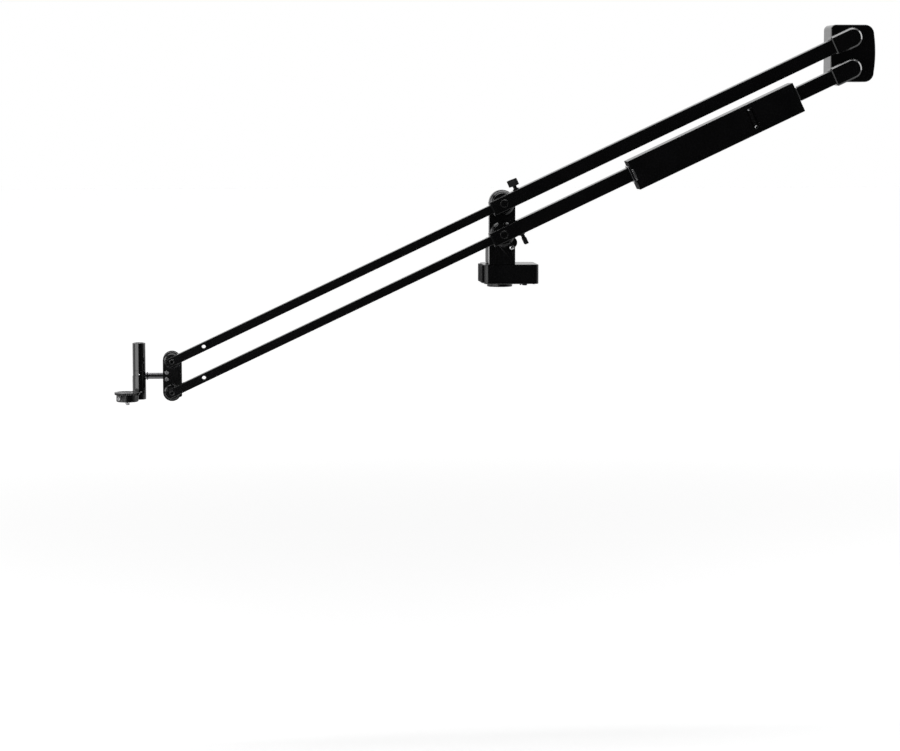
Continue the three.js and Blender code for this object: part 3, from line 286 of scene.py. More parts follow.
# Materials

GRAIN_DEPTH = 0.00004
PATCH_SCALE, PATCH_DETAIL, GRAIN_DETAIL = 22.0, 4.0, 3.0
PATCH_START, PATCH_END = 0.3, 0.72
SMOOTHEST_SHARE, ROUGHEST_SHARE = 0.82, 1.2
HALF = 0.5


def new_node(tree, kind, inputs, operation=None):
    """A shader node with constants on its sockets, by name or by number."""
    node = tree.nodes.new(kind)
    if operation:
        node.operation = operation
    for key, value in inputs.items():
        node.inputs[key].default_value = value
    return node


def finish(name, colour, roughness, metallic=0.0, specular=0.5, spread=0.25, grain=900.0, bump=0.06,
           stretch=(1.0, 1.0, 1.0), turn=0.0, depth=GRAIN_DEPTH):
    """A surface with colour and roughness that vary in patches, and a fine relief of grain or brushing."""
    mat = bpy.data.materials.new(name)
    mat.use_nodes = True
    tree = mat.node_tree
    links = tree.links
    shader = tree.nodes["Principled BSDF"]
    shader.inputs["Metallic"].default_value = metallic
    shader.inputs["Specular IOR Level"].default_value = specular
    place = new_node(tree, "ShaderNodeTexCoord", {})
    mapping = new_node(tree, "ShaderNodeMapping", {"Rotation": (0, turn, 0), "Scale": stretch})
    links.new(place.outputs["Object"], mapping.inputs["Vector"])
    patches = new_node(tree, "ShaderNodeTexNoise", {"Scale": PATCH_SCALE, "Detail": PATCH_DETAIL})
    links.new(place.outputs["Object"], patches.inputs["Vector"])
    fine = new_node(tree, "ShaderNodeTexNoise", {"Scale": grain, "Detail": GRAIN_DETAIL})
    links.new(mapping.outputs["Vector"], fine.inputs["Vector"])

    ramp = new_node(tree, "ShaderNodeValToRGB", {})
    low, high = ramp.color_ramp.elements
    low.position, high.position = PATCH_START, PATCH_END
    low.color = [c * (1 - spread) for c in colour] + [1]
    high.color = [min(c * (1 + spread), 1) for c in colour] + [1]
    links.new(patches.outputs["Fac"], ramp.inputs["Fac"])
    links.new(ramp.outputs["Color"], shader.inputs["Base Color"])

    half = new_node(tree, "ShaderNodeMath", {1: HALF}, "MULTIPLY")
    links.new(patches.outputs["Fac"], half.inputs[0])
    mixed = new_node(tree, "ShaderNodeMath", {1: HALF}, "MULTIPLY_ADD")
    links.new(fine.outputs["Fac"], mixed.inputs[0])
    links.new(half.outputs[0], mixed.inputs[2])
    worn = new_node(tree, "ShaderNodeMapRange",
                    {"To Min": roughness * SMOOTHEST_SHARE, "To Max": roughness * ROUGHEST_SHARE})
    links.new(mixed.outputs[0], worn.inputs["Value"])
    links.new(worn.outputs["Result"], shader.inputs["Roughness"])

    relief = new_node(tree, "ShaderNodeBump", {"Strength": bump, "Distance": depth})
    links.new(fine.outputs["Fac"], relief.inputs["Height"])
    links.new(relief.outputs["Normal"], shader.inputs["Normal"])
    return mat


DRAWN_ALONG = (0.04, 1.0, 1.0)
BRUSHED_ALONG = (0.05, 1, 1)
TUBE = finish("tube_black", (0.0022, 0.0022, 0.0024), 0.22, specular=0.3, grain=1500.0, bump=0.15,
              stretch=DRAWN_ALONG, turn=TILT)
HOUSING = finish("housing_black", (0.0024, 0.0024, 0.0026), 0.23, specular=0.3, grain=2600.0, bump=0.2)
GLOSS = finish("shell_black", (0.002, 0.002, 0.0022), 0.16, specular=0.5, grain=1200.0, bump=0.06)
POLISHED = finish("mast_black", (0.002, 0.002, 0.0022), 0.12, specular=0.6, grain=1200.0, bump=0.04)
BLACKED = finish("blacked_steel", (0.003, 0.003, 0.0032), 0.2, specular=0.5, grain=1400.0, bump=0.08)
PLASTIC = finish("plastic_black", (0.004, 0.004, 0.0043), 0.45, specular=0.15, grain=1800.0, bump=0.35)
RIBBED = finish("battery_black", (0.003, 0.003, 0.0033), 0.8, specular=0.15, grain=1800.0, bump=0.35)
CAST = finish("case_black", (0.003, 0.003, 0.0032), 0.5, specular=0.25, grain=2200.0, bump=0.3)
DARK = finish("dark_steel", (0.07, 0.07, 0.075), 0.26, metallic=1.0, grain=1400.0, bump=0.12)
ROD = finish("rod_steel", (0.12, 0.12, 0.125), 0.2, metallic=1.0, grain=1600.0, bump=0.15, stretch=BRUSHED_ALONG)
BRIGHT = finish("bright_steel", (0.62, 0.62, 0.63), 0.26, metallic=1.0, spread=0.08, grain=1600.0, bump=0.12)
SATIN = finish("satin_steel", (0.24, 0.24, 0.245), 0.42, metallic=1.0, spread=0.08, grain=1600.0, bump=0.12)
BRONZE = finish("bronze", (0.42, 0.27, 0.12), 0.38, metallic=1.0, grain=900.0, bump=0.2)
BOARD = finish("board_green", (0.01, 0.09, 0.03), 0.45, spread=0.4, grain=420.0, bump=0.3)
IRON = finish("weight_iron", (0.07, 0.07, 0.072), 0.72, metallic=0.9, grain=500.0, bump=0.8, depth=0.0002)

# The slots of the record, each with the finish of its name, and the slot that every finish belongs to
SLOTS = {
    "tube_black": TUBE, "housing_black": HOUSING, "plastic_black": PLASTIC, "dark_steel": DARK,
    "bright_steel": BRIGHT, "bronze": BRONZE, "board_green": BOARD, "weight_iron": IRON,
}
SLOT_OF = {material: slot for slot, material in SLOTS.items()}
SLOT_OF.update({
    GLOSS: "tube_black", POLISHED: "housing_black", CAST: "housing_black", RIBBED: "plastic_black",
    BLACKED: "dark_steel", ROD: "dark_steel", SATIN: "bright_steel",
})
NODE_SLOT = {entry["node"]: entry["material_slot"] for entry in frame["record"]["subparts"]}
BODY_OF = {node: body for body, nodes in frame["record"]["behaviour"]["bodies"].items() for node in nodes}


# Pieces

EDGE_ANGLE, SHARP_ANGLE = 34, 32
CHAMFER_SHARE, KEY_SHARE, KEY_DEPTH_SHARE, HEAD_STEPS = 0.12, 0.5, 0.55, 40


def shade(obj, bevel, segments):
    """Small round edges and smooth curved faces."""
    if bevel:
        round_edges(obj, bevel, segments, EDGE_ANGLE)
    bm = bmesh.new()
    bm.from_mesh(obj.data)
    for face in bm.faces:
        face.smooth = True
    for edge in bm.edges:
        if len(edge.link_faces) == 2:
            edge.smooth = edge.calc_face_angle(0.0) < math.radians(SHARP_ANGLE)
    bm.to_mesh(obj.data)
    bm.free()
    step = obj.modifiers.new("normals", "WEIGHTED_NORMAL")
    step.keep_sharp = True
    apply(obj)


def piece(name, obj, body, material, where=MM, replaces=(), bevel=0.0, segments=3):
    """Names a finished shape, dresses it, moves it to its frame and lets it ride on its body."""
    obj.name = name
    obj.data.name = name
    shade(obj, bevel, segments)
    obj.data.transform(where)
    obj.data.materials.clear()
    obj.data.materials.append(material)
    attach(obj, body)
    if replaces:
        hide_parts(*replaces)


def screw(name, radius, height, centre, axis, way, body, where=MM, material=BRIGHT):
    """A cap screw head that stands on a face: way is +1 or -1 along the axis. It has a hexagon socket."""
    face = way * height
    low, high = sorted((0.0, face))
    head = rod(axis, radius, low, high, centre, radius * CHAMFER_SHARE, HEAD_STEPS)
    key_low, key_high = sorted((face + way * OVER, face - face * KEY_DEPTH_SHARE))
    cut(head, rod(axis, radius * KEY_SHARE, key_low, key_high, centre, steps=HEXAGON))
    piece(name, head, body, material, where)


def screws(name, radius, height, centres, axis, way, body, where=MM, material=DARK):
    """Equal cap screws, numbered from 1."""
    for number, centre in enumerate(centres, 1):
        screw(f"{name}_{number}", radius, height, centre, axis, way, body, where, material)


# Foot and base

BASE_LEFT, BASE_RIGHT, BASE_HALF = -37.5, 78, 50
BASE_BOTTOM, BASE_TOP, BASE_WALL, BASE_CORNER = 7.7, 49, 3, 9


def make_foot():
    radius, thickness, flat, shoulder = 27, 7.2, 25.6, 26.4
    spindle, spindle_top, bore, thread, thread_top = 9, 45.3, 5.5, 4.8, 9
    foot = lathe([
        (thread, 0), (flat, 0), (shoulder, 0.35), (radius, 1.1), (radius, 6.2), (shoulder, 6.95), (flat, thickness),
        (spindle, thickness), (spindle, spindle_top), (bore, spindle_top), (bore, thread_top), (thread, thread_top),
        (thread, 0),
    ], "z", ORIGIN, FINE_STEPS)

    slot_count, first_slot, slot_start, slot_half, slot_top = 4, -118, 24, 2, 2.5
    for i in range(slot_count):
        slot = block(slot_start, radius + 3 * OVER, -slot_half, slot_half, -OVER, slot_top)
        slot.data.transform(Matrix.Rotation(math.radians(first_slot + 360 / slot_count * i), 4, "Z"))
        cut(foot, slot)

    groove_width, groove_depth = 1.2, 0.4
    for inner in (12, 16, 20):
        cut(foot, washer("z", inner, inner + groove_width, -OVER, groove_depth, ORIGIN))
    piece("foot_turned", foot, "foot", HOUSING, replaces=["foot"])


def base_outline(inset, count=WIDE_CORNER_STEPS):
    return rounded_box(BASE_LEFT + inset, BASE_RIGHT - inset, -BASE_HALF + inset, BASE_HALF - inset,
                       BASE_CORNER - inset, count)


def make_base():
    edge, edge_segments, inner_corner_steps = 1.6, 5, 12
    shell = prism(base_outline(0), "z", BASE_BOTTOM, BASE_TOP)
    round_edges(shell, edge, edge_segments)
    cut(shell, prism(base_outline(BASE_WALL, inner_corner_steps), "z", BASE_BOTTOM - OVER, BASE_TOP - BASE_WALL))

    seat_outer, seat_inner, seat_low, seat_high = 16.5, 14.3, 36.8, 46.3
    seat = pipe(circle(seat_outer), circle(seat_inner), "z", seat_low, seat_high)
    pocket_back, pocket_half, pocket_low, pocket_high = -23.7, 34.3, 12.5, 45.7
    lining_wall, lining_start = 1.5, 0.2
    lining = block(BASE_LEFT + lining_start, pocket_back + lining_wall, -pocket_half - lining_wall,
                   pocket_half + lining_wall, pocket_low - lining_wall, pocket_high + lining_wall)
    join(shell, seat, lining)
    cut(shell, block(BASE_LEFT - OVER, pocket_back, -pocket_half, pocket_half, pocket_low, pocket_high))

    seam_depth, seam_low, seam_high = 0.4, 11.2, 11.7
    outside = rounded_box(-39, 80, -52, 52, 10, WIDE_CORNER_STEPS)
    cut(shell, pipe(outside, base_outline(seam_depth), "z", seam_low, seam_high))
    piece("base_shell", shell, "turret", HOUSING, replaces=["base_housing"])

    places = [(x, y, BASE_BOTTOM) for x in (68, -28) for y in (-41, 41)]
    screws("base_screw", 2.6, 1.0, places, "z", -1, "turret")


# Column

BRAKE_WHEEL, BRAKE_SCREW = (20.5, 0, 95), (20.6, 0, 85.5)


def make_column():
    half_width, bottom, top_steps = 27.5, 49.3, 48
    outline = [(-half_width, bottom), (half_width, bottom)] + arc(0, UPPER_PIVOT, half_width, 0, 180, top_steps)
    plate = prism(outline, "y", COLUMN_NEAR, COLUMN_FAR)

    bore, lip_inner, lip_outer, lip_height, lip_chamfer, lip_root = 13.3, 23, 26.5, 5, 3.2, 0.5
    lip_profile = lip(lip_inner, lip_outer, COLUMN_NEAR - lip_height, lip_chamfer, COLUMN_NEAR + lip_root)
    for height in (LOWER_PIVOT, UPPER_PIVOT):
        join(plate, lathe(lip_profile, "y", (0, 0, height), FINE_STEPS))
        cut(plate, rod("y", bore, COLUMN_NEAR - OVER, COLUMN_FAR + OVER, (0, 0, height)))

    pocket_radius, pocket_near, pocket_far, pin_bore, pin_bore_near = 13, -41, -34, 2.5, -44.3
    near_over = COLUMN_NEAR - OVER
    cut(
        plate,
        rod("y", pocket_radius, pocket_near, pocket_far, BRAKE_WHEEL),
        rod("y", pin_bore, pin_bore_near, COLUMN_FAR + OVER, BRAKE_WHEEL, steps=SMALL_STEPS),
        rod("y", 9, near_over, COLUMN_NEAR + 1, BRAKE_SCREW),
        rod("y", 6.6, near_over, COLUMN_NEAR + 2.8, BRAKE_SCREW),
        rod("y", 3.3, near_over, COLUMN_NEAR + 6.3, BRAKE_SCREW, steps=SMALL_STEPS),
    )
    piece("column_front", plate, "turret", HOUSING, replaces=["column_plate"], bevel=0.7)

    dome = [(0, 6), (3, 6), (3, 4), (6.2, 4), (6.3, 3.4), (5.9, 2.3), (5.1, 1.3), (4, 0.6), (2.8, 0.2), (0, 0)]
    head = lathe([(radius, COLUMN_NEAR + depth) for radius, depth in dome], "y", BRAKE_SCREW, MIDDLE_STEPS)
    key_radius, key_depth = 2, 1.8
    cut(head, rod("y", key_radius, near_over, COLUMN_NEAR + key_depth, BRAKE_SCREW, steps=HEXAGON))
    piece("brake_screw_head", head, "turret", BRIGHT, replaces=["brake_clamp_screw"])

    wheel_radius, knurl_depth, knurl_teeth, side_gap = 12.5, 0.45, 60, 0.3
    wheel = prism(knurled(BRAKE_WHEEL[0], BRAKE_WHEEL[2], wheel_radius, knurl_depth, knurl_teeth), "y",
                  pocket_near + side_gap, pocket_far - side_gap)
    pin_radius, pin_near, pin_chamfer = 2.2, -42.9, 0.3
    join(wheel, rod("y", pin_radius, pin_near, COLUMN_FAR, BRAKE_WHEEL, pin_chamfer, SMALL_STEPS))
    piece("brake_dial", wheel, "brake_wheel", PLASTIC, replaces=["tilt_brake_wheel"], bevel=0.15, segments=2)


# Booms

REAR_SIDE, REAR_CORNER, FRONT_SIDE, FRONT_CORNER = 30, 1.8, 18, 1.3
LOCK_X = 35.5


def dished_cap(x, radius, rim, slope, face, dish, root, key_radius, key_start, key_floor, steps):
    """A round cap that faces -Y, with a raised rim round a shallow dish, and a hexagon socket."""
    chamfer = 0.4
    cap = lathe([
        (0, dish), (rim - slope, dish), (rim, face), (radius - chamfer, face), (radius, face + chamfer),
        (radius, root), (0, root),
    ], "y", (x, 0, 0), steps)
    cut(cap, rod("y", key_radius, key_start, key_floor, (x, 0, 0), steps=HEXAGON))
    return cap


def make_boom(prefix, where, side):
    """One boom with its front section. Side is the way that its lock screw points: +1 up, -1 down."""
    rear_body, front_body = f"{prefix}_boom", f"{prefix}_front"
    mouth, sleeve_stop, lock_bore = -24.5, 792, 4.3
    thick = pipe(square(REAR_SIDE, REAR_CORNER), square(26, 0.45), "x", mouth, sleeve_stop)
    cut(thick, rod("z", lock_bore, *sorted((0, side * 20)), (LOCK_X, 0, 0), steps=SMALL_STEPS))
    piece(f"{prefix}_thick_tube", thick, rear_body, TUBE, where, [f"{prefix}_rear_tube"], bevel=0.25, segments=2)
    cap = dished_cap(0, 8.5, 7.0, 0.4, -16.0, -15.5, -14.7, 2.9, -16.5, -14.85, 72)
    piece(f"{prefix}_pivot_cap", cap, rear_body, HOUSING, where)

    front_end, inside, stop_hole, stop_behind = -775.4, 60, 4.2, 73.4
    thin = pipe(square(FRONT_SIDE, FRONT_CORNER), square(15, 0.4), "x", front_end, inside)
    side_over = FRONT_SIDE / 2 + 2 * OVER
    cut(thin, rod("y", stop_hole, -side_over, side_over, (-FRONT_REACH + stop_behind, 0, 0), steps=HOLE_STEPS))
    piece(f"{prefix}_thin_tube", thin, front_body, TUBE, where, [f"{prefix}_front_tube"], bevel=0.2, segments=2)
    plug = prism(square(FRONT_SIDE, FRONT_CORNER), "x", -776, -774.6)
    join(plug, prism(square(14.8, 0.6), "x", -774.8, -766))
    piece(f"{prefix}_end_plug", plug, front_body, PLASTIC, where, bevel=0.35)
    end_cap = dished_cap(-FRONT_REACH, 5.4, 4.1, 0.5, -9.8, -9.35, -8.7, 2.0, -10.2, -9.0, MIDDLE_STEPS)
    piece(f"{prefix}_front_cap", end_cap, front_body, BLACKED, where)

    bush_hole, bush_corner, bush_steps = 18.6, 0.9, 6
    bush = pipe(square(25.4, bush_corner, bush_steps), square(bush_hole, bush_corner, bush_steps), "x", -25.1, 5.2)
    join(bush, pipe(square(REAR_SIDE, REAR_CORNER), square(bush_hole, bush_corner), "x", -27.8, -24.8))
    piece(f"{prefix}_bush_ring", bush, rear_body, PLASTIC, where, [f"{prefix}_mouth_bush"], bevel=0.4)

    flange, groove, axle_radius, nut, nut_thickness = 22, 21.2, 6, 9, 3.5
    end = {"upper": 48, "lower": 54.3}[prefix]
    axle = lathe([
        (0, 15.3), (flange - 0.6, 15.3), (flange, 15.9), (flange, 18.6), (groove, 19.1), (groove, 19.9),
        (flange, 20.4), (flange, 25.5), (axle_radius, 25.5), (axle_radius, end - nut_thickness),
        (nut, end - nut_thickness), (nut, end - 0.4), (nut - 0.4, end), (0, end),
    ], "y", ORIGIN, FINE_STEPS)
    piece(f"{prefix}_flanged_axle", axle, rear_body, BLACKED, where, [f"{prefix}_pivot_axle"])

    sleeve_front, sleeve_radius, sleeve_half, sleeve_chamfer, end_steps = 768, 20.5, 17.25, 3.3, 40
    socket_side, socket_end, axle_bore, axle_bore_near, axle_bore_far = 30.6, 792.3, 6.3, 5.9, 19
    outline = ([(sleeve_front, -sleeve_radius)] + arc(REAR_REACH, 0, sleeve_radius, -90, 90, end_steps)
               + [(sleeve_front, sleeve_radius)])
    sleeve = prism(outline, "y", -sleeve_half, sleeve_half)
    round_edges(sleeve, sleeve_chamfer, 1)
    cut(sleeve, prism(square(socket_side, REAR_CORNER), "x", sleeve_front - OVER, socket_end),
        rod("y", axle_bore, axle_bore_near, axle_bore_far, (REAR_REACH, 0, 0), steps=HOLE_STEPS))
    piece(f"{prefix}_sleeve", sleeve, rear_body, GLOSS, where, [f"{prefix}_rear_sleeve"], bevel=0.25, segments=2)

    stem_radius, washer_radius, washer_edge, stem_foot, stem_end = 4, 6.5, 6.1, 9.3, 30
    stem = lathe([
        (0, stem_foot), (stem_radius, stem_foot), (stem_radius, 15.3), (washer_edge, 15.3), (washer_radius, 15.7),
        (washer_radius, 16.9), (washer_edge, 17.3), (stem_radius, 17.3), (stem_radius, stem_end), (0, stem_end),
    ], "z", ORIGIN, MIDDLE_STEPS)
    paddle_half, paddle_low, paddle_high, paddle_corner, paddle_thick = 12.5, 23.5, 38, 1.5, 4
    key = prism(rounded_box(-paddle_half, paddle_half, paddle_low, paddle_high, paddle_corner, 6), "y",
                -paddle_thick, paddle_thick)
    round_edges(key, 0.9, 4)
    join(stem, key)
    turned = -53 if side > 0 else 90
    stem.data.transform(Matrix.Rotation(math.radians(turned), 4, "Z"))
    if side < 0:
        stem.data.transform(Matrix.Rotation(math.radians(180), 4, "X"))
    stem.data.transform(Matrix.Translation((LOCK_X, 0, 0)))
    piece(f"{prefix}_lock_knob", stem, f"{prefix}_lock", RIBBED, where, [f"{prefix}_lock_screw"])


# Counterweight

LONG_FRONT, LONG_REAR, SHORT_FRONT, SHORT_REAR = 298, 582.6, 583.4, 682
LEVER_X, LEVER_EYE_Z, LEVER_PIN = 575, -23.5, (0, -22.5, 18.6)


def weight_outline(inset=0.0):
    half, low, high, corner, least_corner = 25, -36.9, 28.4, 1.5, 0.4
    return rounded_box(-half + inset, half - inset, low + inset, high - inset, max(corner - inset, least_corner))


def tube_hole(front, rear):
    """The tool that clears the square tube."""
    half = 15.5
    return prism([(-half, -half), (half, -half), (half, half), (-half, half)], "x", front, rear)


def make_weight():
    wall, wall_at_end = 2.5, 3
    pocket_radius, pocket_low, pocket_high, pocket_floor, lever_steps = 6.4, -22.3, 15.4, -20, 24
    long_case = prism(weight_outline(), "x", LONG_FRONT, LONG_REAR)
    cut(long_case, prism(weight_outline(wall), "x", LONG_FRONT + wall_at_end, 560), tube_hole(297, 584),
        prism(stadium(LEVER_X, pocket_low, pocket_high, pocket_radius, lever_steps), "y", -26, pocket_floor))
    pin_bore, pin_half, pin_gap = 1.5, 7, 0.3
    cut(long_case, rod("x", pin_bore, LEVER_X - pin_half - pin_gap, LEVER_X + pin_half + pin_gap, LEVER_PIN,
                       steps=SMALL_STEPS))
    piece("long_shell", long_case, "counterweight", HOUSING, LOWER, ["weight_long_case"], bevel=0.5)

    short_case = prism(weight_outline(), "x", SHORT_FRONT, SHORT_REAR)
    cut(short_case, prism(weight_outline(wall), "x", SHORT_FRONT + wall_at_end, SHORT_REAR - wall_at_end),
        tube_hole(582, 684))
    piece("short_shell", short_case, "counterweight", HOUSING, LOWER, ["weight_short_case"], bevel=0.5)

    plate_inset, plate_out, plate_in = 0.6, 0.4, 0.1
    for side, front, rear in (("front", LONG_FRONT - plate_out, LONG_FRONT + plate_in),
                              ("rear", SHORT_REAR - plate_in, SHORT_REAR + plate_out)):
        plate = prism(weight_outline(plate_inset), "x", front, rear)
        cut(plate, tube_hole(front - OVER, rear + OVER))
        piece(f"weight_{side}_plate", plate, "counterweight", RIBBED, LOWER)

    hole, hole_corner = 31, 0.6
    collar = pipe(square(38, 7), square(hole, hole_corner), "x", 293.7, 297.7)
    piece("front_collar", collar, "counterweight", ROD, LOWER, ["weight_collar"], bevel=0.8)
    rear_ring = pipe(square(34, 5), square(hole, hole_corner), "x", SHORT_REAR, 686.2)
    piece("rear_ring", rear_ring, "counterweight", BRIGHT, LOWER, bevel=0.3)
    # A thin bright steel strip along the near front edge of the long case: its bright colour is a painted highlight
    # of that lit edge.
    bar = prism(rounded_box(298.2, 301.4, -16, 9.6, 0.8, 4), "y", -25.7, -24.6)
    piece("front_edge_highlight_bar", bar, "counterweight", BRIGHT, LOWER, bevel=0.2)
    places = [(SHORT_REAR, y, z) for z in (21, -30) for y in (-20, 20)]
    screws("weight_screw", 2.4, 1.2, places, "x", 1, "counterweight", LOWER)

    lever_radius, lever_top, lever_near, lever_far = 4, 16.6, -24, -21
    eye_centre, eye_bore, hub_radius, pin_radius = (LEVER_X, 0, LEVER_EYE_Z), 2.4, 1.8, 1.2
    lever = prism(stadium(LEVER_X, LEVER_EYE_Z, lever_top, lever_radius, lever_steps), "y", lever_near, lever_far)
    cut(lever, rod("y", eye_bore, lever_near - OVER, lever_far + OVER, eye_centre, steps=HOLE_STEPS))
    for radius, half in ((hub_radius, lever_radius), (pin_radius, pin_half)):
        join(lever, rod("x", radius, LEVER_X - half, LEVER_X + half, LEVER_PIN, steps=SMALL_STEPS))
    # A small disc at the lever's top end: the tip is a real part, and its bright steel colour is a painted highlight
    # of the light that this end catches.
    glint_tip = rod("y", 2.2, -24.6, -22, (LEVER_X, 0, 16.2), 0.5, HEAD_STEPS)
    piece("lever_glint_tip", glint_tip, "clamp_lever", BRIGHT, LOWER)
    eye = lathe(lip(2.6, 3.7, -24.7, 0.5, -23), "y", eye_centre, MIDDLE_STEPS)
    piece("lever_eye", eye, "clamp_lever", BRIGHT, LOWER)
    piece("clamp_lever_bar", lever, "clamp_lever", BLACKED, LOWER, ["weight_clamp_lever"], bevel=0.6)


# Front bracket, mast and head arm

BRACKET_RADIUS, BRACKET_BORE = 19, 8.3
NEAR_FACE, NEAR_BACK, BACK_NEAR, BACK_FACE = 15, 22, 44.6, 49.6
CLAMP_X, CLAMP_PITCH = -10.9, 8.4


def bracket_plate(near, far):
    return prism(stadium(0, 0, SPACING, BRACKET_RADIUS), "y", near, far)


def make_bracket():
    near = bracket_plate(NEAR_FACE, NEAR_BACK)
    lip_profile = lip(13, 16.3, NEAR_FACE - 2.5, 2.5, NEAR_FACE + 0.3)
    for height in (0, SPACING):
        join(near, lathe(lip_profile, "y", (0, 0, height)))
        cut(near, rod("y", BRACKET_BORE, NEAR_FACE - OVER, NEAR_BACK + OVER, (0, 0, height)))
    piece("bracket_near", near, "front_bracket", HOUSING, FRONT, ["front_near_plate"], bevel=0.6)
    places = [(CLAMP_X, NEAR_FACE, ROD_Z + CLAMP_PITCH), (CLAMP_X, NEAR_FACE, ROD_Z - 5.6)]
    screws("rod_clamp_screw", 4.2, 1.9, places, "y", -1, "front_bracket", FRONT, SATIN)
    places = [(x, NEAR_FACE, ROD_Z + way * z) for way in (1, -1) for x, z in ((3.1, 16.8), (14.5, 22))]
    screws("plate_screw", 1.9, 0.8, places, "y", -1, "front_bracket", FRONT)

    back_bore_near, back_bore_far = 44, 51
    back = bracket_plate(BACK_NEAR, BACK_FACE)
    join(back, prism(rounded_box(0, 20.5, -13.5, SPACING, 4), "y", BACK_NEAR, BACK_FACE))
    for height in (0, SPACING):
        cut(back, rod("y", BRACKET_BORE, back_bore_near, back_bore_far, (0, 0, height)))
    piece("bracket_back", back, "front_bracket", HOUSING, FRONT, ["front_back_plate"], bevel=0.6)
    places = [(CLAMP_X, BACK_FACE, ROD_Z + CLAMP_PITCH), (CLAMP_X, BACK_FACE, ROD_Z - CLAMP_PITCH)]
    screws("back_screw", 3.2, 1.2, places, "y", 1, "front_bracket", FRONT)


MAST_CENTRE, HEAD_CENTRE, ROD_CENTRE = (MAST_X, ROD_Y, 0), (HEAD_X, 0, 0), (0, ROD_Y, ROD_Z)
FOOT_RADIUS, MAST_RADIUS, ARM_TOP = 14.15, 13.5, -3


def make_mast():
    rod_radius, rod_past, rod_end, rod_chamfer = 6.5, 8, 12, 0.5
    bar = rod("x", rod_radius, MAST_X - rod_past, rod_end, ROD_CENTRE, rod_chamfer)
    piece("cross_rod", bar, "head_mast", ROD, FRONT, ["mast_rod"])
    ring_inner, ring_edge, ring_outer = 6.55, 7.9, 8.3
    collar = lathe([
        (ring_inner, -52.6), (ring_edge, -52.6), (ring_outer, -52.2), (ring_outer, -50.4), (ring_edge, -50),
        (ring_inner, -50), (ring_inner, -52.6),
    ], "x", ROD_CENTRE)
    piece("rod_ring", collar, "head_mast", BLACKED, FRONT)

    waist, foot_top = 13.35, 44
    lower = lathe([
        (0, -16.2), (12.9, -16.2), (13.7, -15.9), (FOOT_RADIUS, -15.2), (FOOT_RADIUS, 33.4), (waist, 33.7),
        (waist, 36.4), (MAST_RADIUS, 36.5), (MAST_RADIUS, foot_top), (0, foot_top),
    ], "z", MAST_CENTRE, FINE_STEPS)
    gap = 0.3
    cut(lower, rod("x", rod_radius + gap, MAST_X - rod_past - gap, 0, ROD_CENTRE))
    piece("mast_foot", lower, "head_mast", POLISHED, FRONT, ["mast_lower"])
    upper = lathe([
        (0, 44.3), (13.1, 44.3), (MAST_RADIUS, 44.7), (MAST_RADIUS, 101), (13.2, 101.8), (12.4, 102.2), (11, 102.2),
        (10.6, 101.4), (0, 101.4),
    ], "z", MAST_CENTRE, FINE_STEPS)
    piece("mast_top", upper, "head_mast", POLISHED, FRONT, ["mast_upper"])
    screw("mast_screw", 1.6, 0.9, (MAST_X, ROD_Y - 13.4, 36.4), "y", -1, "head_mast", FRONT)


def make_arm():
    disc, disc_low, arm_low = 23.1, -17.3, -14.3
    arm = lathe([(0, disc_low), (21.9, disc_low), (disc, -16.1), (disc, -3.5), (22.6, ARM_TOP), (0, ARM_TOP)],
                "z", HEAD_CENTRE, FINE_STEPS)
    neck_run, neck_half = MAST_X - HEAD_X, 8.5
    neck = block(0, math.hypot(neck_run, ROD_Y), -neck_half, neck_half, arm_low, ARM_TOP)
    neck.data.transform(Matrix.Translation(HEAD_CENTRE) @ Matrix.Rotation(math.atan2(ROD_Y, neck_run), 4, "Z"))
    lug_near, lug_far = ROD_Y - FOOT_RADIUS - 4, ROD_Y - FOOT_RADIUS + 4
    ledge = block(MAST_X - 7, MAST_X + 7, lug_near, lug_far, arm_low, ARM_TOP)
    lug = block(MAST_X + 1, MAST_X + 7, lug_near, lug_far, ARM_TOP - OVER, 1.5)
    join(arm, neck, ledge, lug)
    mast_bore, stud_bore = 14.45, 5.06
    cut(arm, rod("z", mast_bore, disc_low - OVER, ROD_Z, MAST_CENTRE),
        rod("z", stud_bore, disc_low - OVER, 3, HEAD_CENTRE, steps=HOLE_STEPS))
    piece("arm_casting", arm, "head_mast", HOUSING, FRONT, ["head_arm"], bevel=0.7)

    angle, stand, height, key_floor, key_end = math.radians(-134), 23.0, 2.2, 1.2, 3
    fixing = rod("x", 4, 0, height, ORIGIN, 0.5, HEAD_STEPS)
    cut(fixing, rod("x", 2, key_floor, key_end, ORIGIN, steps=HEXAGON))
    fixing.data.transform(Matrix.Translation((HEAD_X + stand * math.cos(angle), stand * math.sin(angle), -10))
                          @ Matrix.Rotation(angle, 4, "Z"))
    piece("anti_twist_screw", fixing, "head_mast", SATIN, FRONT)


def make_thumb_wheel():
    radius, knurl_depth, knurl_teeth, low, high = 26.5, 0.5, 90, -2.7, 2.0
    dish, dish_floor, dish_slope = 20.5, 1.0, 1.0
    wheel = prism(knurled(HEAD_X, 0, radius, knurl_depth, knurl_teeth), "z", low, high)
    rim = dish + dish_slope
    cut(wheel, lathe([(0, dish_floor), (dish, dish_floor), (rim, high), (rim, high + OVER), (0, high + OVER)],
                     "z", HEAD_CENTRE))
    thread_radius, thread_depth, pitch = 4.76, 0.55, 1.5875
    stud = threaded(thread_radius, thread_depth, pitch, -24.3, -2.5, "z", HEAD_CENTRE)
    join(wheel, rod("z", 7, 0.5, 1.9, HEAD_CENTRE, 0.5))
    cut(wheel, rod("z", 2.4, 1.2, high + OVER, HEAD_CENTRE, steps=HEXAGON))
    piece("thumb_wheel", wheel, "thumb_screw", HOUSING, FRONT, ["thumb_screw"], bevel=0.18, segments=2)
    piece("head_stud_thread", stud, "thumb_screw", BRIGHT, FRONT)


# Rear bracket

SHELL_NEAR, SHELL_FAR, SHELL_WALL = 17.75, 86.45, 4


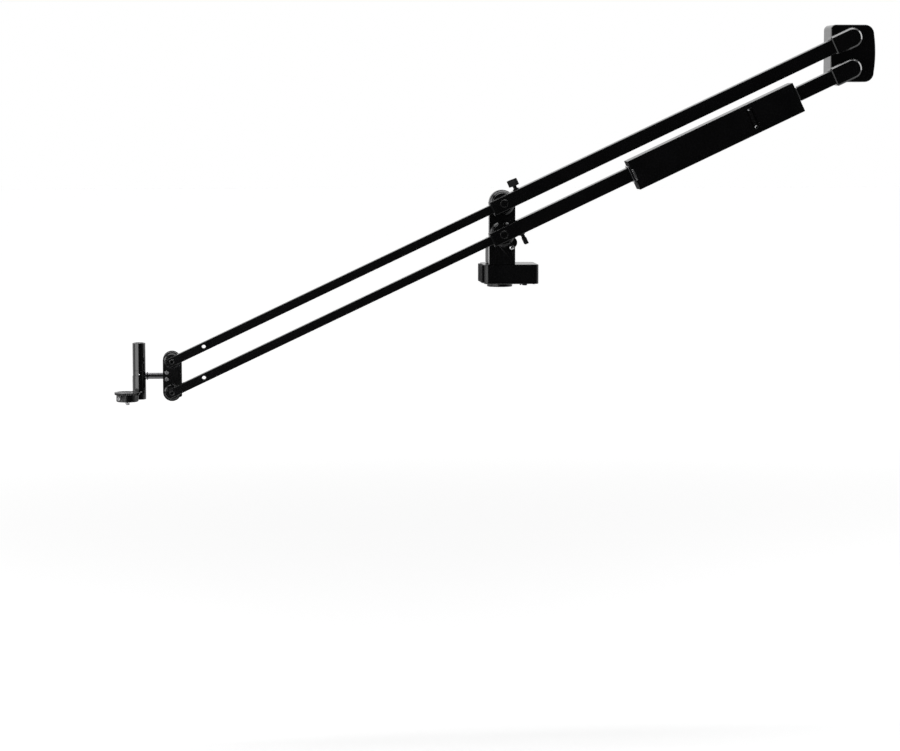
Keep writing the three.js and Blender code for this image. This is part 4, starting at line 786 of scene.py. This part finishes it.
def rear_outline(inset=0.0):
    """A box with small corners in front, and large ones behind with a bowed side between them."""
    left, right, low, high = -38.8 + inset, 54.5 - inset, -27.5 + inset, SPACING + 28 - inset
    small, large, bow, bow_steps = 11 - inset, 20 - inset, 12, 24
    straight = high - low - 2 * large
    shares = [i / bow_steps for i in range(1, bow_steps)]
    return (
        arc(left + small, low + small, small, 180, 270, CORNER_STEPS)
        + arc(right - large, low + large, large, -90, 0, WIDE_CORNER_STEPS)
        + [(right + bow * share * (1 - share), low + large + straight * share) for share in shares]
        + arc(right - large, high - large, large, 0, 90, WIDE_CORNER_STEPS)
        + arc(left + small, high - small, small, 90, 180, CORNER_STEPS)
    )


def make_rear():
    edge, edge_segments, cavity_inset, cavity_end = 2.2, 6, 3, 88
    shell = prism(rear_outline(), "y", SHELL_NEAR, SHELL_FAR)
    round_edges(shell, edge, edge_segments)
    floor_y = SHELL_NEAR + SHELL_WALL
    cut(shell, prism(rear_outline(cavity_inset), "y", floor_y, cavity_end))

    boss, boss_near, boss_far, bore, seat = 12.8, floor_y - 0.3, floor_y + 6, 6.5, 10.3
    bore_near, bore_far, groove_inner, groove_outer, groove_near, groove_floor = 16.7, 30, 21.6, 22.4, 17, 18.3
    for height in (0, SPACING):
        pivot = (0, 0, height)
        join(shell, rod("y", boss, boss_near, boss_far, pivot))
        cut(shell, rod("y", bore, bore_near, bore_far, pivot), rod("y", seat, floor_y, bore_far, pivot),
            washer("y", groove_inner, groove_outer, groove_near, groove_floor, pivot))
    piece("rear_shell", shell, "rear_bracket", GLOSS, REAR, ["rear_housing"])
    places = [(x, SHELL_FAR, z) for x, z in ((-30, -19), (38, -14), (-30, 84), (38, 79))]
    screws("rear_screw", 3.0, 1.4, places, "y", 1, "rear_bracket", REAR)


make_foot()
make_base()
make_column()
make_boom("lower", LOWER, -1)
make_boom("upper", UPPER, 1)
make_weight()
make_bracket()
make_mast()
make_arm()
make_thumb_wheel()
make_rear()

CASE_FACE = 28
screws("case_screw", 2.2, 1.1, [(x, CASE_FACE, z) for z in (56.5, 96) for x in (-20, 20)], "y", 1, "turret")


# Every solid takes its finish. A copy of each one that is not redrawn above gets fine edges of the width given
# here, and smooth curves.

OWN_FINISH = {"lower_front_axle": BLACKED, "upper_front_axle": BLACKED, "battery_pack": RIBBED,
              "column_case": CAST, "column_case_cover": CAST}
KEPT = {
    "pan_fixed_gear": 0.1, "spindle_nut": 0.3, "base_bottom_plate": 0.3, "pan_lower_bearing": 0.3,
    "pan_upper_bearing": 0.3, "pan_motor": 0.2, "pan_pinion": 0.1, "control_board": 0.1, "battery_pack": 0.25,
    "pan_lock_lever": 0.4, "column_case": 0.5, "column_case_cover": 0.3, "lower_pivot_bearing": 0.3,
    "upper_pivot_bearing": 0.3, "tilt_motor": 0.2, "tilt_pinion": 0.1, "tilt_gear": 0.1,
    "lower_guide_shoe": 0.3, "upper_guide_shoe": 0.3, "lower_front_axle": 0.3, "upper_front_axle": 0.3,
    "lower_rear_axle": 0.3, "upper_rear_axle": 0.3, "rod_clamp_block": 0.6, "lower_front_bearing": 0.2,
    "upper_front_bearing": 0.2, "rear_cover": 0.5, "lower_rear_bearing": 0.3, "upper_rear_bearing": 0.3,
    "long_weight": 0.6, "short_weight": 0.6,
}
MERGE_DISTANCE, FLAT_ANGLE = 1e-3, 1.0

for name, node in frame["nodes"].items():
    node.data.materials.clear()
    node.data.materials.append(SLOTS[NODE_SLOT[name]])

for name, edge in KEPT.items():
    copy = bpy.data.objects.new(name + "_dressed", frame["nodes"][name].data.copy())
    bpy.context.scene.collection.objects.link(copy)
    copy.data.transform(TO_MM)
    bm = bmesh.new()
    bm.from_mesh(copy.data)
    bmesh.ops.remove_doubles(bm, verts=bm.verts, dist=MERGE_DISTANCE)
    bmesh.ops.dissolve_limit(bm, angle_limit=math.radians(FLAT_ANGLE), verts=bm.verts, edges=bm.edges)
    bm.to_mesh(copy.data)
    bm.free()
    material = OWN_FINISH.get(name, SLOTS[NODE_SLOT[name]])
    piece(name + "_dressed", copy, BODY_OF[name], material, replaces=[name], bevel=edge, segments=2)


# Stage, light and camera. Places and sizes are in metres from here on.

WHITE = (1, 1, 1, 1)
FLOOR_HEIGHT, FLOOR_COLOUR, FLOOR_ROUGHNESS = -0.98, (0.74, 0.74, 0.74, 1), 0.9
FLOOR_LEFT, FLOOR_RIGHT, FLOOR_NEAR, FLOOR_FAR = -30, 30, -1.5, 40
GLOW_START, GLOW_FULL, GLOW = 0.6, 6.0, 0.58
ROOM_DARK, ROOM_LIT, ROOM_SHOWN, ROOM_FRONT, ROOM_BACK = 0.03, 0.9, 1.0, -0.75, 0.35
LAMPS = [
    # name, place, target, size, power
    ("overhead", (0.3, -0.2, 3.0), (0.3, -0.15, 0.2), (6.2, 0.5), 90),
    ("front left", (-3.6, -3.4, 0.3), (-0.5, 0, 0.1), (5.0, 2.4), 135),
    ("left", (-4.4, -0.3, 1.0), (-0.2, 0, 0.2), (2.4, 2.2), 80),
    ("right", (3.5, 0.55, 1.3), (0.5, 0, 0.4), (1.2, 2.3), 50),
]
CAMERA_PLACE, CAMERA_PITCH, CAMERA_YAW = (-0.645, -5.801, 0.3818), 84.4, -5.31
CAMERA_LENS, CAMERA_SENSOR, CAMERA_REACH = 110, 36, 60


def seen_share(tree, low, high):
    """Low for the light that falls on the object, high for what the camera, mirrors and glass show."""
    path = new_node(tree, "ShaderNodeLightPath", {})
    socket = path.outputs["Is Camera Ray"]
    for other in ("Is Transmission Ray", "Is Glossy Ray"):
        either = new_node(tree, "ShaderNodeMath", {}, "MAXIMUM")
        tree.links.new(socket, either.inputs[0])
        tree.links.new(path.outputs[other], either.inputs[1])
        socket = either.outputs[0]
    level = new_node(tree, "ShaderNodeMapRange", {"To Min": low, "To Max": high})
    tree.links.new(socket, level.inputs["Value"])
    return level.outputs["Result"]


def make_floor():
    """A pale floor that fades to white with the distance, so that it keeps the shadow near the object."""
    white = bpy.data.materials.new("floor_white")
    white.use_nodes = True
    tree = white.node_tree
    shader = tree.nodes["Principled BSDF"]
    shader.inputs["Roughness"].default_value = FLOOR_ROUGHNESS
    shader.inputs["Specular IOR Level"].default_value = 0.0
    shader.inputs["Base Color"].default_value = FLOOR_COLOUR
    shader.inputs["Emission Color"].default_value = WHITE
    place = new_node(tree, "ShaderNodeTexCoord", {})
    far = new_node(tree, "ShaderNodeVectorMath", {}, "LENGTH")
    tree.links.new(place.outputs["Object"], far.inputs[0])
    fade = new_node(tree, "ShaderNodeMapRange",
                    {"From Min": GLOW_START, "From Max": GLOW_FULL, "To Min": 0.0, "To Max": GLOW})
    tree.links.new(far.outputs["Value"], fade.inputs["Value"])
    glow = new_node(tree, "ShaderNodeMath", {}, "MULTIPLY")
    tree.links.new(fade.outputs["Result"], glow.inputs[0])
    tree.links.new(seen_share(tree, 0.0, 1.0), glow.inputs[1])
    tree.links.new(glow.outputs[0], shader.inputs["Emission Strength"])
    corners = [(FLOOR_LEFT, FLOOR_NEAR), (FLOOR_RIGHT, FLOOR_NEAR), (FLOOR_RIGHT, FLOOR_FAR), (FLOOR_LEFT, FLOOR_FAR)]
    floor = new_object([(x, y, FLOOR_HEIGHT) for x, y in corners], [(0, 1, 2, 3)], "floor")
    floor.data.materials.append(white)


def make_world():
    """A room that is dark in front of the object and lit behind it. The camera sees white all round."""
    world = bpy.data.worlds.new("studio")
    bpy.context.scene.world = world
    world.use_nodes = True
    tree = world.node_tree
    background = tree.nodes["Background"]
    background.inputs["Color"].default_value = WHITE
    direction = new_node(tree, "ShaderNodeTexCoord", {})
    split = new_node(tree, "ShaderNodeSeparateXYZ", {})
    tree.links.new(direction.outputs["Generated"], split.inputs["Vector"])
    room = new_node(tree, "ShaderNodeMapRange", {"From Min": ROOM_FRONT, "From Max": ROOM_BACK, "To Min": ROOM_DARK})
    room.interpolation_type = "SMOOTHSTEP"
    tree.links.new(seen_share(tree, ROOM_LIT, ROOM_SHOWN), room.inputs["To Max"])
    tree.links.new(split.outputs["Y"], room.inputs["Value"])
    path = new_node(tree, "ShaderNodeLightPath", {})
    seen = tree.nodes.new("ShaderNodeMix")
    seen.data_type = "FLOAT"
    seen.inputs["B"].default_value = 1.0
    tree.links.new(path.outputs["Is Camera Ray"], seen.inputs["Factor"])
    tree.links.new(room.outputs["Result"], seen.inputs["A"])
    tree.links.new(seen.outputs["Result"], background.inputs["Strength"])


def make_lamp(name, place, target, size, power):
    data = bpy.data.lights.new(name, "AREA")
    data.shape = "RECTANGLE"
    data.size, data.size_y = size
    data.energy = power
    obj = bpy.data.objects.new(name, data)
    obj.location = place
    obj.rotation_euler = (Vector(target) - Vector(place)).to_track_quat("-Z", "Y").to_euler()
    bpy.context.scene.collection.objects.link(obj)


def make_camera():
    data = bpy.data.cameras.new("camera")
    data.lens, data.sensor_width, data.clip_end = CAMERA_LENS, CAMERA_SENSOR, CAMERA_REACH
    camera = bpy.data.objects.new("camera", data)
    camera.location = CAMERA_PLACE
    camera.rotation_euler = (math.radians(CAMERA_PITCH), 0, math.radians(CAMERA_YAW))
    bpy.context.scene.collection.objects.link(camera)
    bpy.context.scene.camera = camera


make_floor()
make_world()
for lamp in LAMPS:
    make_lamp(*lamp)
make_camera()
bpy.context.scene.view_settings.view_transform = "Standard"
